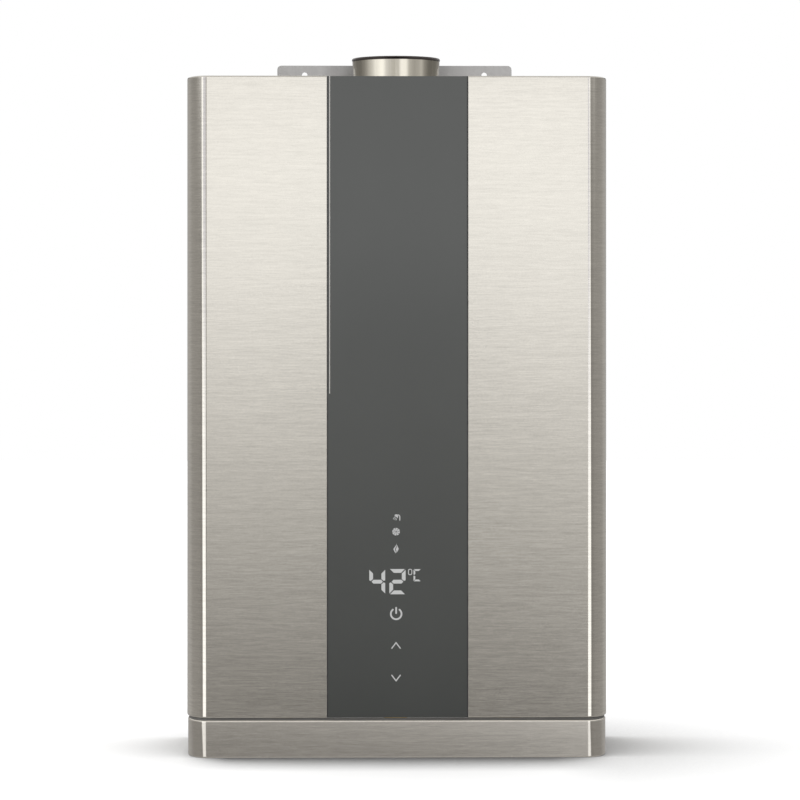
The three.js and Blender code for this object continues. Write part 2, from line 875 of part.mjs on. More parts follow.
/** The motor's round mounting plate with three lugs. */
function motorPlate() {
  const front = motorFace() + seatGap;
  const y = [front, front + motorPlateThickness];
  const disc = bar('y', motorPlateRadius, y, [0, 0, 0], roundSides);
  const lugs = [0, 1, 2].map((i) => {
    const angle = (fullTurn * i) / 3 + fullTurn / 4;
    const at = [motorPlateRadius * Math.cos(angle), 0, motorPlateRadius * Math.sin(angle)];
    return bar('y', motorLugRadius, y, at);
  });
  const hole = bar('y', shaftHoleRadius, [y[0] - overrun, y[1] + overrun], [0, 0, 0]);
  return joined([disc, ...lugs]).subtract(hole).translate([-fanOffset, 0, fanZ]);
}

/** A hopper between two rectangles, each given by its X and Y stretches. */
function hopper(low, high, z) {
  const geometry = new THREE.BoxGeometry(1, 1, 1);
  const position = geometry.attributes.position;
  for (let i = 0; i < position.count; i += 1) {
    const upper = position.getZ(i) > 0;
    const end = upper ? high : low;
    const x = end.x[position.getX(i) > 0 ? 1 : 0];
    const y = end.y[position.getY(i) > 0 ? 1 : 0];
    position.setXYZ(i, x, y, z[upper ? 1 : 0]);
  }
  return solid(geometry);
}

/** The exhaust hood: it gathers the gases over the exchanger and leads them up to the fan's eye. */
function exhaustHood() {
  const foot = chamberTop + seatGap;
  const neck = foot + hoodHeight;
  const towerFront = flueY + fanWidth / 2 + seatGap;
  const lay = (inset) => ({
    low: { x: [inset - stackWidth / 2, stackWidth / 2 - inset], y: [stackFront + inset, stackRear - inset] },
    high: {
      x: [inset - fanOffset - hoodTowerWidth / 2, hoodTowerWidth / 2 - fanOffset - inset],
      y: [towerFront + inset, stackRear - inset],
    },
  });
  const outer = lay(0);
  const inner = lay(stackWall);
  const shell = hopper(outer.low, outer.high, [foot, neck])
    .add(block(outer.high.x, outer.high.y, [neck - stackWall / 2, fanZ + hoodTowerHead]));
  const space = hopper(inner.low, inner.high, [foot - stackWall, neck])
    .add(block(inner.high.x, inner.high.y, [neck - stackWall, fanZ + hoodTowerHead - stackWall]));
  const throughWall = [towerFront - overrun, towerFront + overrun];
  const eye = bar('y', eyeRadius, throughWall, [-fanOffset, 0, fanZ], roundSides);
  return shell.subtract(space).subtract(eye);
}

/** The air-pressure switch: a round capsule on the back plate, with one hose nipple. */
function pressureSwitch() {
  const rear = backFront - panelRise - seatGap;
  const front = rear - switchThickness;
  const profile = [
    [0, front - nippleLength],
    [nippleRadius, front - nippleLength],
    [nippleRadius, front],
    [switchRadius / 2, front],
    [switchRadius / 2 + nippleRadius, front + nippleRadius],
    [switchRadius, front + nippleRadius],
    [switchRadius, rear],
    [0, rear],
  ];
  return turned('y', profile, [bodyWidth / 2 - switchSideGap, 0, bodyHeight - switchDrop]);
}

/** The combustion chamber: a flanged duct, holed for the exchanger's tubes and the two electrodes. */
function combustionChamber() {
  const z = [chamberFoot, chamberTop];
  const through = [z[0] - overrun, z[1] + overrun];
  const x = [-stackWidth / 2, stackWidth / 2];
  const y = [stackFront, stackRear];
  const wall = (grow, radius, span) => (
    extruded('z', roundedRectangle([x[0] - grow, x[1] + grow], [y[0] - grow, y[1] + grow], radius), span)
  );
  const shell = wall(0, chamberCorner, z);
  const foot = wall(stackFlange, chamberCorner + stackFlange, [z[0], z[0] + stackWall]);
  const space = wall(-stackWall, chamberCorner - stackWall, through);
  const holeRadius = (tubeRadius + seatGap) / Math.cos(fullTurn / 2 / tubeSides);
  const tubeHoles = tubeRows().map((row) => (
    bar('x', holeRadius, [x[0] - overrun, x[1] + overrun], [0, row, exchangerHeight], tubeSides)
  ));
  const electrodeZ = chamberFoot + electrodeRise;
  const electrodeHole = (ceramicRadius + seatGap) / Math.cos(fullTurn / 2 / tubeSides);
  const electrodeHoles = electrodePlaces().map((place) => (
    bar('y', electrodeHole, [y[0] - overrun, y[0] + overrun], [place, 0, electrodeZ], tubeSides)
  ));
  return shell.add(foot).subtract(joined([space, ...tubeHoles, ...electrodeHoles]));
}

/** The exchanger's tube rows along Y, front to back. */
function tubeRows() {
  const rows = [];
  for (let i = 0; i < exchangerTubes; i += 1) {
    rows.push(flueY + (i - (exchangerTubes - 1) / 2) * exchangerPitch);
  }
  return rows;
}

function electrodePlaces() {
  return [-electrodeSpacing / 2, electrodeSpacing / 2];
}

/** The finned heat exchanger: one serpentine tube through a pack of fins. */
function heatExchanger() {
  const rows = tubeRows();
  const bend = exchangerPitch / 2;
  const reach = stackWidth / 2 + stackWall + bend;
  const drop = exchangerHeight - exchangerDrop;
  const corners = [[riserReach, rows[0], drop], [riserReach, rows[0], exchangerHeight]];
  rows.slice(1).forEach((row, i) => {
    const side = i % 2 === 0 ? -reach : reach;
    corners.push([side, rows[i], exchangerHeight], [side, row, exchangerHeight]);
  });
  const last = rows[rows.length - 1];
  corners.push([-riserReach, last, exchangerHeight], [-riserReach, last, drop]);
  const fins = [];
  const depth = [stackFront + stackWall + 2 * seatGap, stackRear - stackWall - 2 * seatGap];
  const height = around(exchangerHeight, finHeight);
  for (let i = 0; i < finCount; i += 1) {
    const x = (i / (finCount - 1) - 1 / 2) * (stackWidth - 2 * finSideGap);
    fins.push(extruded('x', roundedRectangle(depth, height, finCorner), around(x, finThickness), plainParts));
  }
  return joined([pipe(corners, tubeRadius, bend), ...fins]);
}

/** The water tube wound round the chamber, rising from the inlet side to the exchanger. */
function chamberCoil() {
  const laps = [[coilX, coilFront], [-coilX, coilFront], [-coilX, coilRear], [coilX, coilRear]];
  const rings = [];
  for (let i = 0; i < coilRings * laps.length; i += 1) {
    const [x, y] = laps[i % laps.length];
    rings.push([x, y, coilStart + ((coilEnd - coilStart) * i) / laps.length / coilRings]);
  }
  const frontRow = tubeRows()[0];
  const corners = [
    [riserReach, -inletRiserSetBack, inletJoin],
    [riserReach, -inletRiserSetBack, coilStart],
    [coilX, (coilFront - inletRiserSetBack) / 2, coilStart],
    ...rings,
    [coilX, flueY, coilEnd],
    [riserReach, frontRow, coilEnd],
    [riserReach, frontRow, exchangerHeight - exchangerDrop - seatGap],
  ];
  return pipe(corners, tubeRadius, coilBend);
}

/** The burner box: an open-topped tray with a window for the nozzles and two feet to the back plate. */
function burnerBox() {
  const x = [-stackWidth / 2, stackWidth / 2];
  const y = [stackFront, stackRear];
  const z = [burnerFoot, chamberFoot - seatGap];
  const sill = burnerFoot + burnerWindowSill;
  const shell = block(x, y, z);
  const flange = block(
    [x[0] - stackFlange, x[1] + stackFlange],
    [y[0] - stackFlange, y[1] + stackFlange],
    [z[1] - stackWall, z[1]],
  );
  const space = block(
    [x[0] + stackWall, x[1] - stackWall],
    [y[0] + stackWall, y[1] - stackWall],
    [z[0] + stackWall, z[1] + overrun],
  );
  const opening = block(
    [x[0] + burnerWindowMargin, x[1] - burnerWindowMargin],
    [y[0] - overrun, y[0] + stackWall + overrun],
    [sill, sill + burnerWindowHeight],
  );
  const feet = [-1, 1].map((side) => {
    const middle = side * (stackWidth - burnerTabWidth) / 2;
    const width = around(middle, burnerTabWidth);
    const rear = backFront - panelRise - seatGap;
    const arm = block(width, [y[1] - stackWall / 2, rear], [z[0], z[0] + stackWall]);
    return arm.add(block(width, [rear - stackWall, rear], [z[0], z[0] + burnerTabWidth]));
  });
  return joined([shell, flange]).subtract(joined([space, opening])).add(joined(feet));
}

/** A blade burner: a venturi leg that turns back under a ported top. */
function burnerBar(x) {
  const foot = burnerFoot + stackWall + seatGap;
  const length = stackDepth - burnerEndRoom;
  const y = around(flueY, length);
  const z = [foot, foot + chamberFoot - burnerFoot - burnerHeadroom];
  const side = roundedRectangle(y, z, burnerMouthRadius);
  const body = extruded('x', side, around(x, burnerThickness), plainParts);
  const slotFoot = foot + 2 * burnerMouthRadius + burnerSlot;
  const slot = block(
    [x - burnerThickness, x + burnerThickness],
    [y[0] - overrun, y[1] - 2 * burnerMouthRadius],
    [slotFoot, slotFoot + burnerSlot],
  );
  const venturi = turned('y', [
    [0, y[0] + burnerMouthRadius / 2],
    [burnerThroatRadius, y[0] + burnerMouthRadius / 2],
    [burnerMouthRadius, y[0] - burnerThroatRadius / 2],
    [burnerMouthRadius, y[0]],
    [burnerThroatRadius + seatGap, y[0] + 2 * burnerMouthRadius],
    [burnerMouthRadius, y[1] - 2 * burnerMouthRadius],
    [0, y[1] - burnerMouthRadius],
  ], [x, 0, nozzleZ], venturiSides);
  const ports = [];
  for (let i = 0; i < portCount; i += 1) {
    const place = y[0] + (length * (i + 1 / 2)) / portCount;
    const across = [x - burnerThickness, x + burnerThickness];
    ports.push(block(across, around(place, portWidth), [z[1] - portDepth, z[1] + overrun]));
  }
  return body.subtract(slot).add(venturi).subtract(joined(ports));
}

function burnerPlaces() {
  const places = [];
  for (let i = 0; i < burnerCount; i += 1) {
    places.push(((i - (burnerCount - 1) / 2) * burnerSpan) / burnerCount);
  }
  return places;
}

/** The gas manifold: a square bar across the front with a nozzle for each burner and two end tabs. */
function gasManifold() {
  const y = [manifoldRear - manifoldDepth, manifoldRear];
  const z = around(nozzleZ, manifoldHeight);
  const rail = block(around(0, burnerSpan), y, z);
  const tabs = [-1, 1].map((side) => {
    const middle = side * (burnerSpan + manifoldTab) / 2;
    return block(around(middle, manifoldTab + seatGap), [y[0] + manifoldDepth / 2, stackFront - seatGap], z);
  });
  const nozzles = burnerPlaces().map((x) => turned('y', [
    [0, y[1] - manifoldDepth / 2],
    [nozzleRadius, y[1] - manifoldDepth / 2],
    [nozzleRadius, y[1] + nozzleLength / 2],
    [nozzleTip, y[1] + nozzleLength],
    [0, y[1] + nozzleLength],
  ], [x, 0, nozzleZ], tubeSides));
  return joined([rail, ...tabs, ...nozzles]);
}

/** An electrode: a collared ceramic through the chamber's front wall with its wire over the burners. */
function electrode(x) {
  const front = stackFront - collarLength - ceramicLength / 4;
  const wall = stackFront - seatGap;
  const profile = [
    [0, front],
    [ceramicRadius, front],
    [ceramicRadius, wall - collarLength],
    [ceramicCollar, wall - collarLength],
    [ceramicCollar, wall],
    [ceramicRadius, wall],
    [ceramicRadius, front + ceramicLength],
    [wireRadius, front + ceramicLength],
    [wireRadius, front + ceramicLength + wireLength],
    [0, front + ceramicLength + wireLength],
  ];
  return turned('y', profile, [x, 0, chamberFoot + electrodeRise], tubeSides);
}

/** The thermal cut-out: a disc thermostat on the chamber's front wall. */
function thermalCutout() {
  const rear = stackFront - seatGap;
  const front = rear - cutoutThickness;
  const profile = [
    [0, front],
    [cutoutRadius / 2, front],
    [cutoutRadius / 2, front + cutoutThickness / 2],
    [cutoutRadius, front + cutoutThickness / 2],
    [cutoutRadius, rear],
    [0, rear],
  ];
  return turned('y', profile, [cutoutPlace, 0, exchangerHeight]);
}

/** A fitting's threaded stub below the bottom plate and its flange on the plate, up to a given top. */
function fittingProfile(top, upper) {
  return [
    [stubBore, stubFoot],
    [stubRadius - stubChamfer, stubFoot],
    [stubRadius, stubFoot + stubChamfer],
    [stubRadius, fittingSeat],
    [fittingFlangeRadius, fittingSeat],
    [fittingFlangeRadius, fittingSeat + fittingFlangeThickness],
    ...upper,
    [stubBore, top],
  ];
}

function gasInletFitting() {
  const top = gasValveRise - seatGap;
  const at = [0, -fittingsSetBack, 0];
  return ring('z', fittingProfile(top, [
    [outletRadius, fittingSeat + fittingFlangeThickness],
    [outletRadius, top],
  ]), at);
}

/** The gas valve block, with rounded edges, standing on its inlet fitting. */
function gasValveBody() {
  const x = around(0, gasValveWidth);
  const z = [gasValveRise, gasValveRise + gasValveHeight];
  const y = around(-fittingsSetBack, gasValveDepth);
  const shell = extruded('y', roundedRectangle(x, z, gasValveFillet), y);
  const ways = [
    bar('z', stubBore, [z[0] - overrun, z[0] + gasValveFillet], [0, -fittingsSetBack, 0], tubeSides),
    bar('z', stubBore, [z[1] - gasValveFillet, z[1] + overrun], [0, -fittingsSetBack, 0], tubeSides),
  ];
  return shell.subtract(joined(ways));
}

function solenoidPlaces() {
  return [-solenoidSpacing / 2, solenoidSpacing / 2];
}

function solenoidZ() {
  return gasValveRise + gasValveHeight / 2;
}

/** A solenoid coil on the valve's front: a flanged bobbin with a bore for the plunger. */
function gasSolenoid(x) {
  const rear = -fittingsSetBack - gasValveDepth / 2 - seatGap;
  const front = rear - solenoidLength;
  const cheek = solenoidRadius / 4;
  const profile = [
    [plungerRadius + seatGap, front],
    [solenoidRadius, front],
    [solenoidRadius, front + cheek],
    [solenoidRadius - cheek / 2, front + cheek],
    [solenoidRadius - cheek / 2, rear - cheek],
    [solenoidRadius, rear - cheek],
    [solenoidRadius, rear],
    [plungerRadius + seatGap, rear],
  ];
  return ring('y', profile, [x, 0, solenoidZ()]);
}

/** A solenoid's plunger, drawn in by its travel when the coil is live. */
function gasPlunger(x) {
  const coilFace = -fittingsSetBack - gasValveDepth / 2 - seatGap - solenoidLength;
  const front = coilFace - plungerProud - plungerTravel;
  return bar('y', plungerRadius, [front, front + plungerLength], [x, 0, solenoidZ()]);
}

function gasPipe() {
  const y = manifoldRear - manifoldDepth / 2;
  const start = gasValveRise + gasValveHeight + seatGap;
  const end = nozzleZ - manifoldHeight / 2 - seatGap;
  const leg = (end - start) / gasPipeLegs;
  const corners = [
    [0, -fittingsSetBack, start],
    [0, -fittingsSetBack, start + leg],
    [0, y, end - leg],
    [0, y, end],
  ];
  return pipe(corners, gasPipeRadius, leg * gasPipeBendShare);
}

/** The cold water valve: a waisted body bored through, with a wider chamber for the turbine. */
function waterValveBody() {
  const neck = fittingSeat + fittingFlangeThickness;
  const chamber = [turbineChamberFoot, turbineChamberFoot + turbineChamberHeight];
  const shell = ring('z', fittingProfile(valveTop, [
    [valveWaist, neck],
    [valveWaist, plugHeight - plugRadius - seatGap],
    [valveRadius, plugHeight - plugRadius],
    [valveRadius, chamber[1] + plugRadius],
    [valveWaist, chamber[1] + plugRadius + fittingFlangeThickness],
    [valveNeck, valveTop - fittingFlangeThickness],
    [valveNeck, valveTop],
  ]), [stubSpacing, -fittingsSetBack, 0]);
  const room = bar('z', turbineChamberRadius, chamber, [stubSpacing, -fittingsSetBack, 0]);
  return shell.subtract(room);
}

/** The flow turbine: slanted vanes on a hub between end caps that keep it in its chamber. */
function flowTurbine() {
  const z = [turbineChamberFoot + turbineEndGap, turbineChamberFoot + turbineChamberHeight - turbineEndGap];
  const hub = bar('z', turbineHubRadius, z, [0, 0, 0]);
  const vanes = [];
  for (let i = 0; i < turbineBlades; i += 1) {
    const vane = block([0, turbineRadius], around(0, turbineBladeThickness), z);
    vanes.push(vane.rotate([0, 0, (degreesInTurn * i) / turbineBlades]));
  }
  return joined([hub, ...vanes]).translate([stubSpacing, -fittingsSetBack, 0]);
}

/** The inlet filter's plug, screwed into the front of the water valve. */
function inletFilterPlug() {
  const rear = -fittingsSetBack - valveRadius - seatGap;
  const front = rear - plugLength;
  const head = bar('y', plugHeadRadius, [front, front + plugHeadLength], [0, 0, 0], plugSides);
  const shank = bar('y', plugRadius, [front + plugHeadLength / 2, rear], [0, 0, 0]);
  return head.add(shank).translate([stubSpacing, 0, plugHeight]);
}

function hotOutletFitting() {
  return ring('z', fittingProfile(outletTop, [
    [outletRadius, fittingSeat + fittingFlangeThickness],
    [outletRadius, outletTop],
  ]), [-stubSpacing, -fittingsSetBack, 0]);
}

/** The relief valve on the hot outlet: a short barrel with a test lever. */
function reliefValve() {
  const rear = -fittingsSetBack - outletRadius - seatGap;
  const front = rear - reliefLength;
  const barrel = turned('y', [
    [0, front],
    [reliefRadius / 2, front],
    [reliefRadius, front + reliefRadius / 2],
    [reliefRadius, rear - reliefRadius / 2],
    [reliefRadius / 2, rear - reliefRadius / 2],
    [reliefRadius / 2, rear],
    [0, rear],
  ], [-stubSpacing, 0, reliefHeight]);
  const lever = block(
    around(-stubSpacing, reliefRadius),
    [front - reliefLeverThickness, front + reliefLeverThickness / 2],
    [reliefHeight - reliefRadius / 2, reliefHeight - reliefRadius / 2 + reliefLever],
  );
  return barrel.add(lever);
}

function inletPipe() {
  const start = valveTop + seatGap;
  const corners = [
    [stubSpacing, -fittingsSetBack, start],
    [stubSpacing, -fittingsSetBack, start + (crossLevel - start) * legShare],
    [riserReach, -inletRiserSetBack, crossLevel],
    [riserReach, -inletRiserSetBack, inletJoin - seatGap],
  ];
  return pipe(corners, tubeRadius, tubeRadius + riserBendEase);
}

function outletPipe() {
  const rows = tubeRows();
  const row = rows[rows.length - 1];
  const end = outletTop + seatGap;
  const corners = [
    [-riserReach, row, exchangerHeight - exchangerDrop - seatGap],
    [-riserReach, row, crossLevel],
    [-stubSpacing, -fittingsSetBack, end + (crossLevel - end) * legShare],
    [-stubSpacing, -fittingsSetBack, end],
  ];
  return pipe(corners, tubeRadius, tubeRadius + riserBendEase);
}

function controllerSpan() {
  return [controllerSideGap - bodyWidth / 2, -controllerInner];
}

/** The controller's tray, open to the front. */
function controllerBox() {
  const x = controllerSpan();
  const y = [-controllerBack - controllerDepth, -controllerBack];
  const z = [fittingSeat, controllerTop];
  const outer = extruded('y', roundedRectangle(x, z, 2 * controllerWall), y);
  const inner = block(
    [x[0] + controllerWall, x[1] - controllerWall],
    [y[0] - overrun, y[1] - controllerWall],
    [z[0] + controllerWall, z[1] - controllerWall],
  );
  return outer.subtract(inner);
}

/** The control board with its transformer, relays and capacitor. */
function controlBoard() {
  const margin = controllerWall + seatGap;
  const x = controllerSpan();
  const rear = -controllerBack - controllerWall - seatGap;
  const board = block(
    [x[0] + margin, x[1] - margin],
    [rear - boardThickness, rear],
    [fittingSeat + margin, controllerTop - margin],
  );
  const room = (x[1] - x[0]) / 2 - controlBoardMargin - margin;
  const boardHeight = controllerTop - fittingSeat - 2 * margin;
  const middle = (x[0] + x[1]) / 2;
  const chips = [];
  for (let i = 0; i < chipCount; i += 1) {
    const place = fittingSeat + margin + (boardHeight * (i + 1 / 2)) / chipCount;
    const side = i % 2 === 0 ? -1 : 1;
    const height = chipHeight * (1 + (i % 3) / 2);
    chips.push(block(
      around(middle + side * room / 2, room / 2 + chipHeight * (i % 2)),
      [rear - boardThickness / 2 - height, rear - boardThickness / 2],
      around(place, chipHeight),
    ));
  }
  return joined([board, ...chips]);
}

/** The controller's lid, with raised ribs. */
function controllerLid() {
  const x = controllerSpan();
  const rear = -controllerBack - controllerDepth - seatGap;
  const z = [fittingSeat, controllerTop];
  const lid = extruded('y', roundedRectangle(x, z, 2 * controllerWall), [rear - lidThickness, rear]);
  const ribs = [];
  for (let i = 0; i < lidRibCount; i += 1) {
    const place = z[1] - controlBoardMargin - (i + 1) * 2 * controllerWall;
    ribs.push(block(
      [x[0] + 2 * controlBoardMargin, x[1] - 2 * controlBoardMargin],
      [rear - lidThickness - lidRib, rear - lidThickness / 2],
      around(place, controllerWall),
    ));
  }
  return joined([lid, ...ribs]);
}

/** The spark igniter: a potted block on the back plate. */
function igniterModule() {
  const x = [coilX + tubeRadius + igniterCoilGap, bodyWidth / 2 - igniterSideGap];
  const z = [coilStart + igniterStep, coilStart + igniterStep + igniterHeight];
  const rear = backFront - panelRise - seatGap;
  return extruded('y', roundedRectangle(x, z, igniterFillet), [rear - igniterDepth, rear]);
}

// Finishes, as colour, roughness and metalness
const finishes = {
  brushedSteel: [0xb9b5ad, 0.34, 1],
  darkGlass: [0x3f4244, 0.08, 0],
  galvanised: [0xa9abab, 0.48, 1],
  zincPlated: [0xc3c3bf, 0.3, 1],
  castAlloy: [0xa2a3a2, 0.5, 1],
  copper: [0xb87350, 0.36, 1],
  brass: [0xb99a55, 0.34, 1],
  blackPlastic: [0x1e1f21, 0.5, 0],
  whitePlastic: [0xe4e3dd, 0.45, 0],
  diffuser: [0xf0f0ec, 0.4, 0],
  circuitBoard: [0x2c5b3c, 0.55, 0],
  rubber: [0x27272a, 0.8, 0],
  ceramic: [0xece7dc, 0.35, 0],
};

const heater = new THREE.Group();
const cabinet = new THREE.Group();
cabinet.position.z = -mountHeight;
heater.add(cabinet);

/** A sub-assembly: a group of named pieces, each with its finish and its solid. */
function assembly(pieces) {
  const group = new THREE.Group();
  for (const [name, finish, shape] of pieces) {
    const [color, roughness, metalness] = finishes[finish];
    const material = new THREE.MeshStandardMaterial({ color, roughness, metalness });
    const mesh = new THREE.Mesh(geometryOf(shape), material);
    mesh.name = name;
    group.add(mesh);
  }
  cabinet.add(group);
}

// The casing and what hangs it on the wall
assembly([
  ['front_cover', 'brushedSteel', frontCover()],
  ['glass_panel', 'darkGlass', glassPanel()],
  ['base_trim', 'brushedSteel', baseTrim()],
  ['back_plate', 'galvanised', backPlate()],
  ['top_plate', 'galvanised', topPlate()],
  ['bottom_plate', 'galvanised', bottomPlate()],
  ['upper_wall_bracket', 'zincPlated', wallBracket(bracketTop, 1)],
  ['lower_wall_bracket', 'zincPlated', wallBracket(lowerBracketFoot, -1)],
  ['cover_screw_left', 'zincPlated', coverScrew(screwPlaces()[0])],
  ['cover_screw_right', 'zincPlated', coverScrew(screwPlaces()[1])],
  ['cable_gland', 'blackPlastic', cableGland()],
]);

// The display behind the glass
assembly([
  ['display_light_guide', 'diffuser', lightGuide()],
  ['display_board', 'circuitBoard', displayBoard()],
  ['display_tray', 'blackPlastic', displayTray()],
]);

// The flue and the fan
assembly([
  ['flue_collar', 'brushedSteel', flueCollar()],
  ['flue_gasket', 'rubber', flueGasket()],
  ['fan_housing', 'galvanised', fanHousing()],
  ['fan_impeller', 'castAlloy', fanImpeller()],
  ['fan_shaft', 'zincPlated', fanShaft()],
  ['fan_motor', 'blackPlastic', fanMotor()],
  ['motor_plate', 'galvanised', motorPlate()],
  ['exhaust_hood', 'galvanised', exhaustHood()],
  ['pressure_switch', 'whitePlastic', pressureSwitch()],
]);

// The heat exchanger, the combustion chamber and the burners
assembly([
  ['heat_exchanger', 'copper', heatExchanger()],
  ['combustion_chamber', 'copper', combustionChamber()],
  ['chamber_coil', 'copper', chamberCoil()],
  ['ignition_electrode', 'ceramic', electrode(electrodePlaces()[0])],
  ['flame_rod', 'ceramic', electrode(electrodePlaces()[1])],
  ['thermal_cutout', 'zincPlated', thermalCutout()],
  ['burner_box', 'galvanised', burnerBox()],
  ...burnerPlaces().map((x, i) => [`burner_bar_${i + 1}`, 'zincPlated', burnerBar(x)]),
]);

// The gas train
assembly([
  ['gas_manifold', 'castAlloy', gasManifold()],
  ['gas_inlet_fitting', 'brass', gasInletFitting()],
  ['gas_valve_body', 'castAlloy', gasValveBody()],
  ['gas_solenoid_left', 'blackPlastic', gasSolenoid(solenoidPlaces()[0])],
  ['gas_solenoid_right', 'blackPlastic', gasSolenoid(solenoidPlaces()[1])],
  ['gas_plunger_left', 'zincPlated', gasPlunger(solenoidPlaces()[0])],
  ['gas_plunger_right', 'zincPlated', gasPlunger(solenoidPlaces()[1])],
  ['gas_pipe', 'zincPlated', gasPipe()],
]);

// The water train
assembly([
  ['water_valve_body', 'brass', waterValveBody()],
  ['flow_turbine', 'whitePlastic', flowTurbine()],
  ['inlet_filter_plug', 'brass', inletFilterPlug()],
  ['hot_outlet_fitting', 'brass', hotOutletFitting()],
  ['relief_valve', 'brass', reliefValve()],
  ['inlet_pipe', 'copper', inletPipe()],
  ['outlet_pipe', 'copper', outletPipe()],
]);

// The electrics
assembly([
  ['controller_box', 'blackPlastic', controllerBox()],
  ['control_board', 'circuitBoard', controlBoard()],
  ['controller_lid', 'blackPlastic', controllerLid()],
  ['igniter_module', 'blackPlastic', igniterModule()],
]);

export default heater;
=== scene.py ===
import logging
import math
from dataclasses import dataclass, field
from enum import Enum
from typing import Iterable, Sequence, TypeVar, Union

import bmesh
import bpy
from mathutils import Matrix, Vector


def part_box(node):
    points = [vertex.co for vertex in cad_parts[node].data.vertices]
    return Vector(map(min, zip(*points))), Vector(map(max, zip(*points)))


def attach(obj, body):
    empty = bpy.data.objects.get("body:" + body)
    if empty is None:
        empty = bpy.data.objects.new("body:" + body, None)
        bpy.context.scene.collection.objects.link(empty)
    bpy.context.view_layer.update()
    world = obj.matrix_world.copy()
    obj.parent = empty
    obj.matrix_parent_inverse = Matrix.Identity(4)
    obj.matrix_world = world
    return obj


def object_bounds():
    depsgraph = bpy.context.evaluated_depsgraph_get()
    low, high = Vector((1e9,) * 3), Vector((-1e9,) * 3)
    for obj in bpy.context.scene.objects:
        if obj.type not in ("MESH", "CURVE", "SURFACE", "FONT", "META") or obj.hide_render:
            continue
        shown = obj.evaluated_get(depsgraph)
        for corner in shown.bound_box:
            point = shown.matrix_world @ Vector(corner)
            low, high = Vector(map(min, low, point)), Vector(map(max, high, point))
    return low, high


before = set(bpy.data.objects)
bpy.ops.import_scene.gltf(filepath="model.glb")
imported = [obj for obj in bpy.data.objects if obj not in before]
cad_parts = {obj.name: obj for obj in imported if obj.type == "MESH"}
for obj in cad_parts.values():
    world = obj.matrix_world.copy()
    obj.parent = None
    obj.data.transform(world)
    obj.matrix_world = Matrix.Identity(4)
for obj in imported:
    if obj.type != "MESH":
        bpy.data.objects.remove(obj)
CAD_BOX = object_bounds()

MM = 0.001
FULL_TURN = 2 * math.pi
UP = Vector((0.0, 0.0, 1.0))
FORWARDS = Vector((0.0, -1.0, 0.0))
NOISE_SPAN = (0.3, 0.7)
TOUCHING = 0.001 * MM

Colour = tuple[float, float, float]
Point = tuple[float, float]
Spot = tuple[float, float, float]
Span = tuple[float, float]
Route = tuple[Spot, ...]
Stops = tuple[tuple[float, float | Colour], ...]
Input = Union[float, Sequence[float], "Socket", bpy.types.NodeSocket]
Corner = TypeVar("Corner")

log = logging.getLogger("heater")


# --- Shader nodes -------------------------------------------------------------------------------


class Socket:
    """A node's output that can be used in arithmetic; each operation adds one Math node."""

    def __init__(self, tree: "NodeTree", socket: bpy.types.NodeSocket) -> None:
        """Wraps a socket of the given tree."""
        self.tree = tree
        self.socket = socket

    def _math(self, operation: str, first: Input, second: Input) -> "Socket":
        """Adds a Math node of two inputs and returns its value."""
        return self.tree.node("ShaderNodeMath", {"operation": operation}, {0: first, 1: second}).value

    def __add__(self, other: Input) -> "Socket":
        """Adds another value."""
        return self._math("ADD", self, other)

    def __sub__(self, other: Input) -> "Socket":
        """Takes another value away."""
        return self._math("SUBTRACT", self, other)

    def __mul__(self, other: Input) -> "Socket":
        """Multiplies by another value."""
        return self._math("MULTIPLY", self, other)

    def __truediv__(self, other: Input) -> "Socket":
        """Divides by another value."""
        return self._math("DIVIDE", self, other)

    def __pow__(self, other: Input) -> "Socket":
        """Raises to a power."""
        return self._math("POWER", self, other)

    def __radd__(self, other: Input) -> "Socket":
        """Adds this value to a number."""
        return self._math("ADD", other, self)

    def __rsub__(self, other: Input) -> "Socket":
        """Takes this value from a number."""
        return self._math("SUBTRACT", other, self)

    def __rmul__(self, other: Input) -> "Socket":
        """Multiplies a number by this value."""
        return self._math("MULTIPLY", other, self)

    def __abs__(self) -> "Socket":
        """This value without its sign."""
        return self.tree.node("ShaderNodeMath", {"operation": "ABSOLUTE"}, {0: self}).value

    def above(self, limit: Input) -> "Socket":
        """1 where this value is greater than the limit, else 0."""
        return self._math("GREATER_THAN", self, limit)


class Node:
    """A shader node with its outputs at hand."""

    def __init__(self, tree: "NodeTree", node: bpy.types.Node) -> None:
        """Wraps a node of the given tree."""
        self.tree = tree
        self.node = node

    def __getitem__(self, name: Union[str, int]) -> Socket:
        """An output by its name or number."""
        return Socket(self.tree, self.node.outputs[name])

    @property
    def value(self) -> Socket:
        """The first output that the node's settings leave in use."""
        used = [socket for socket in self.node.outputs if socket.enabled]
        return Socket(self.tree, used[0])


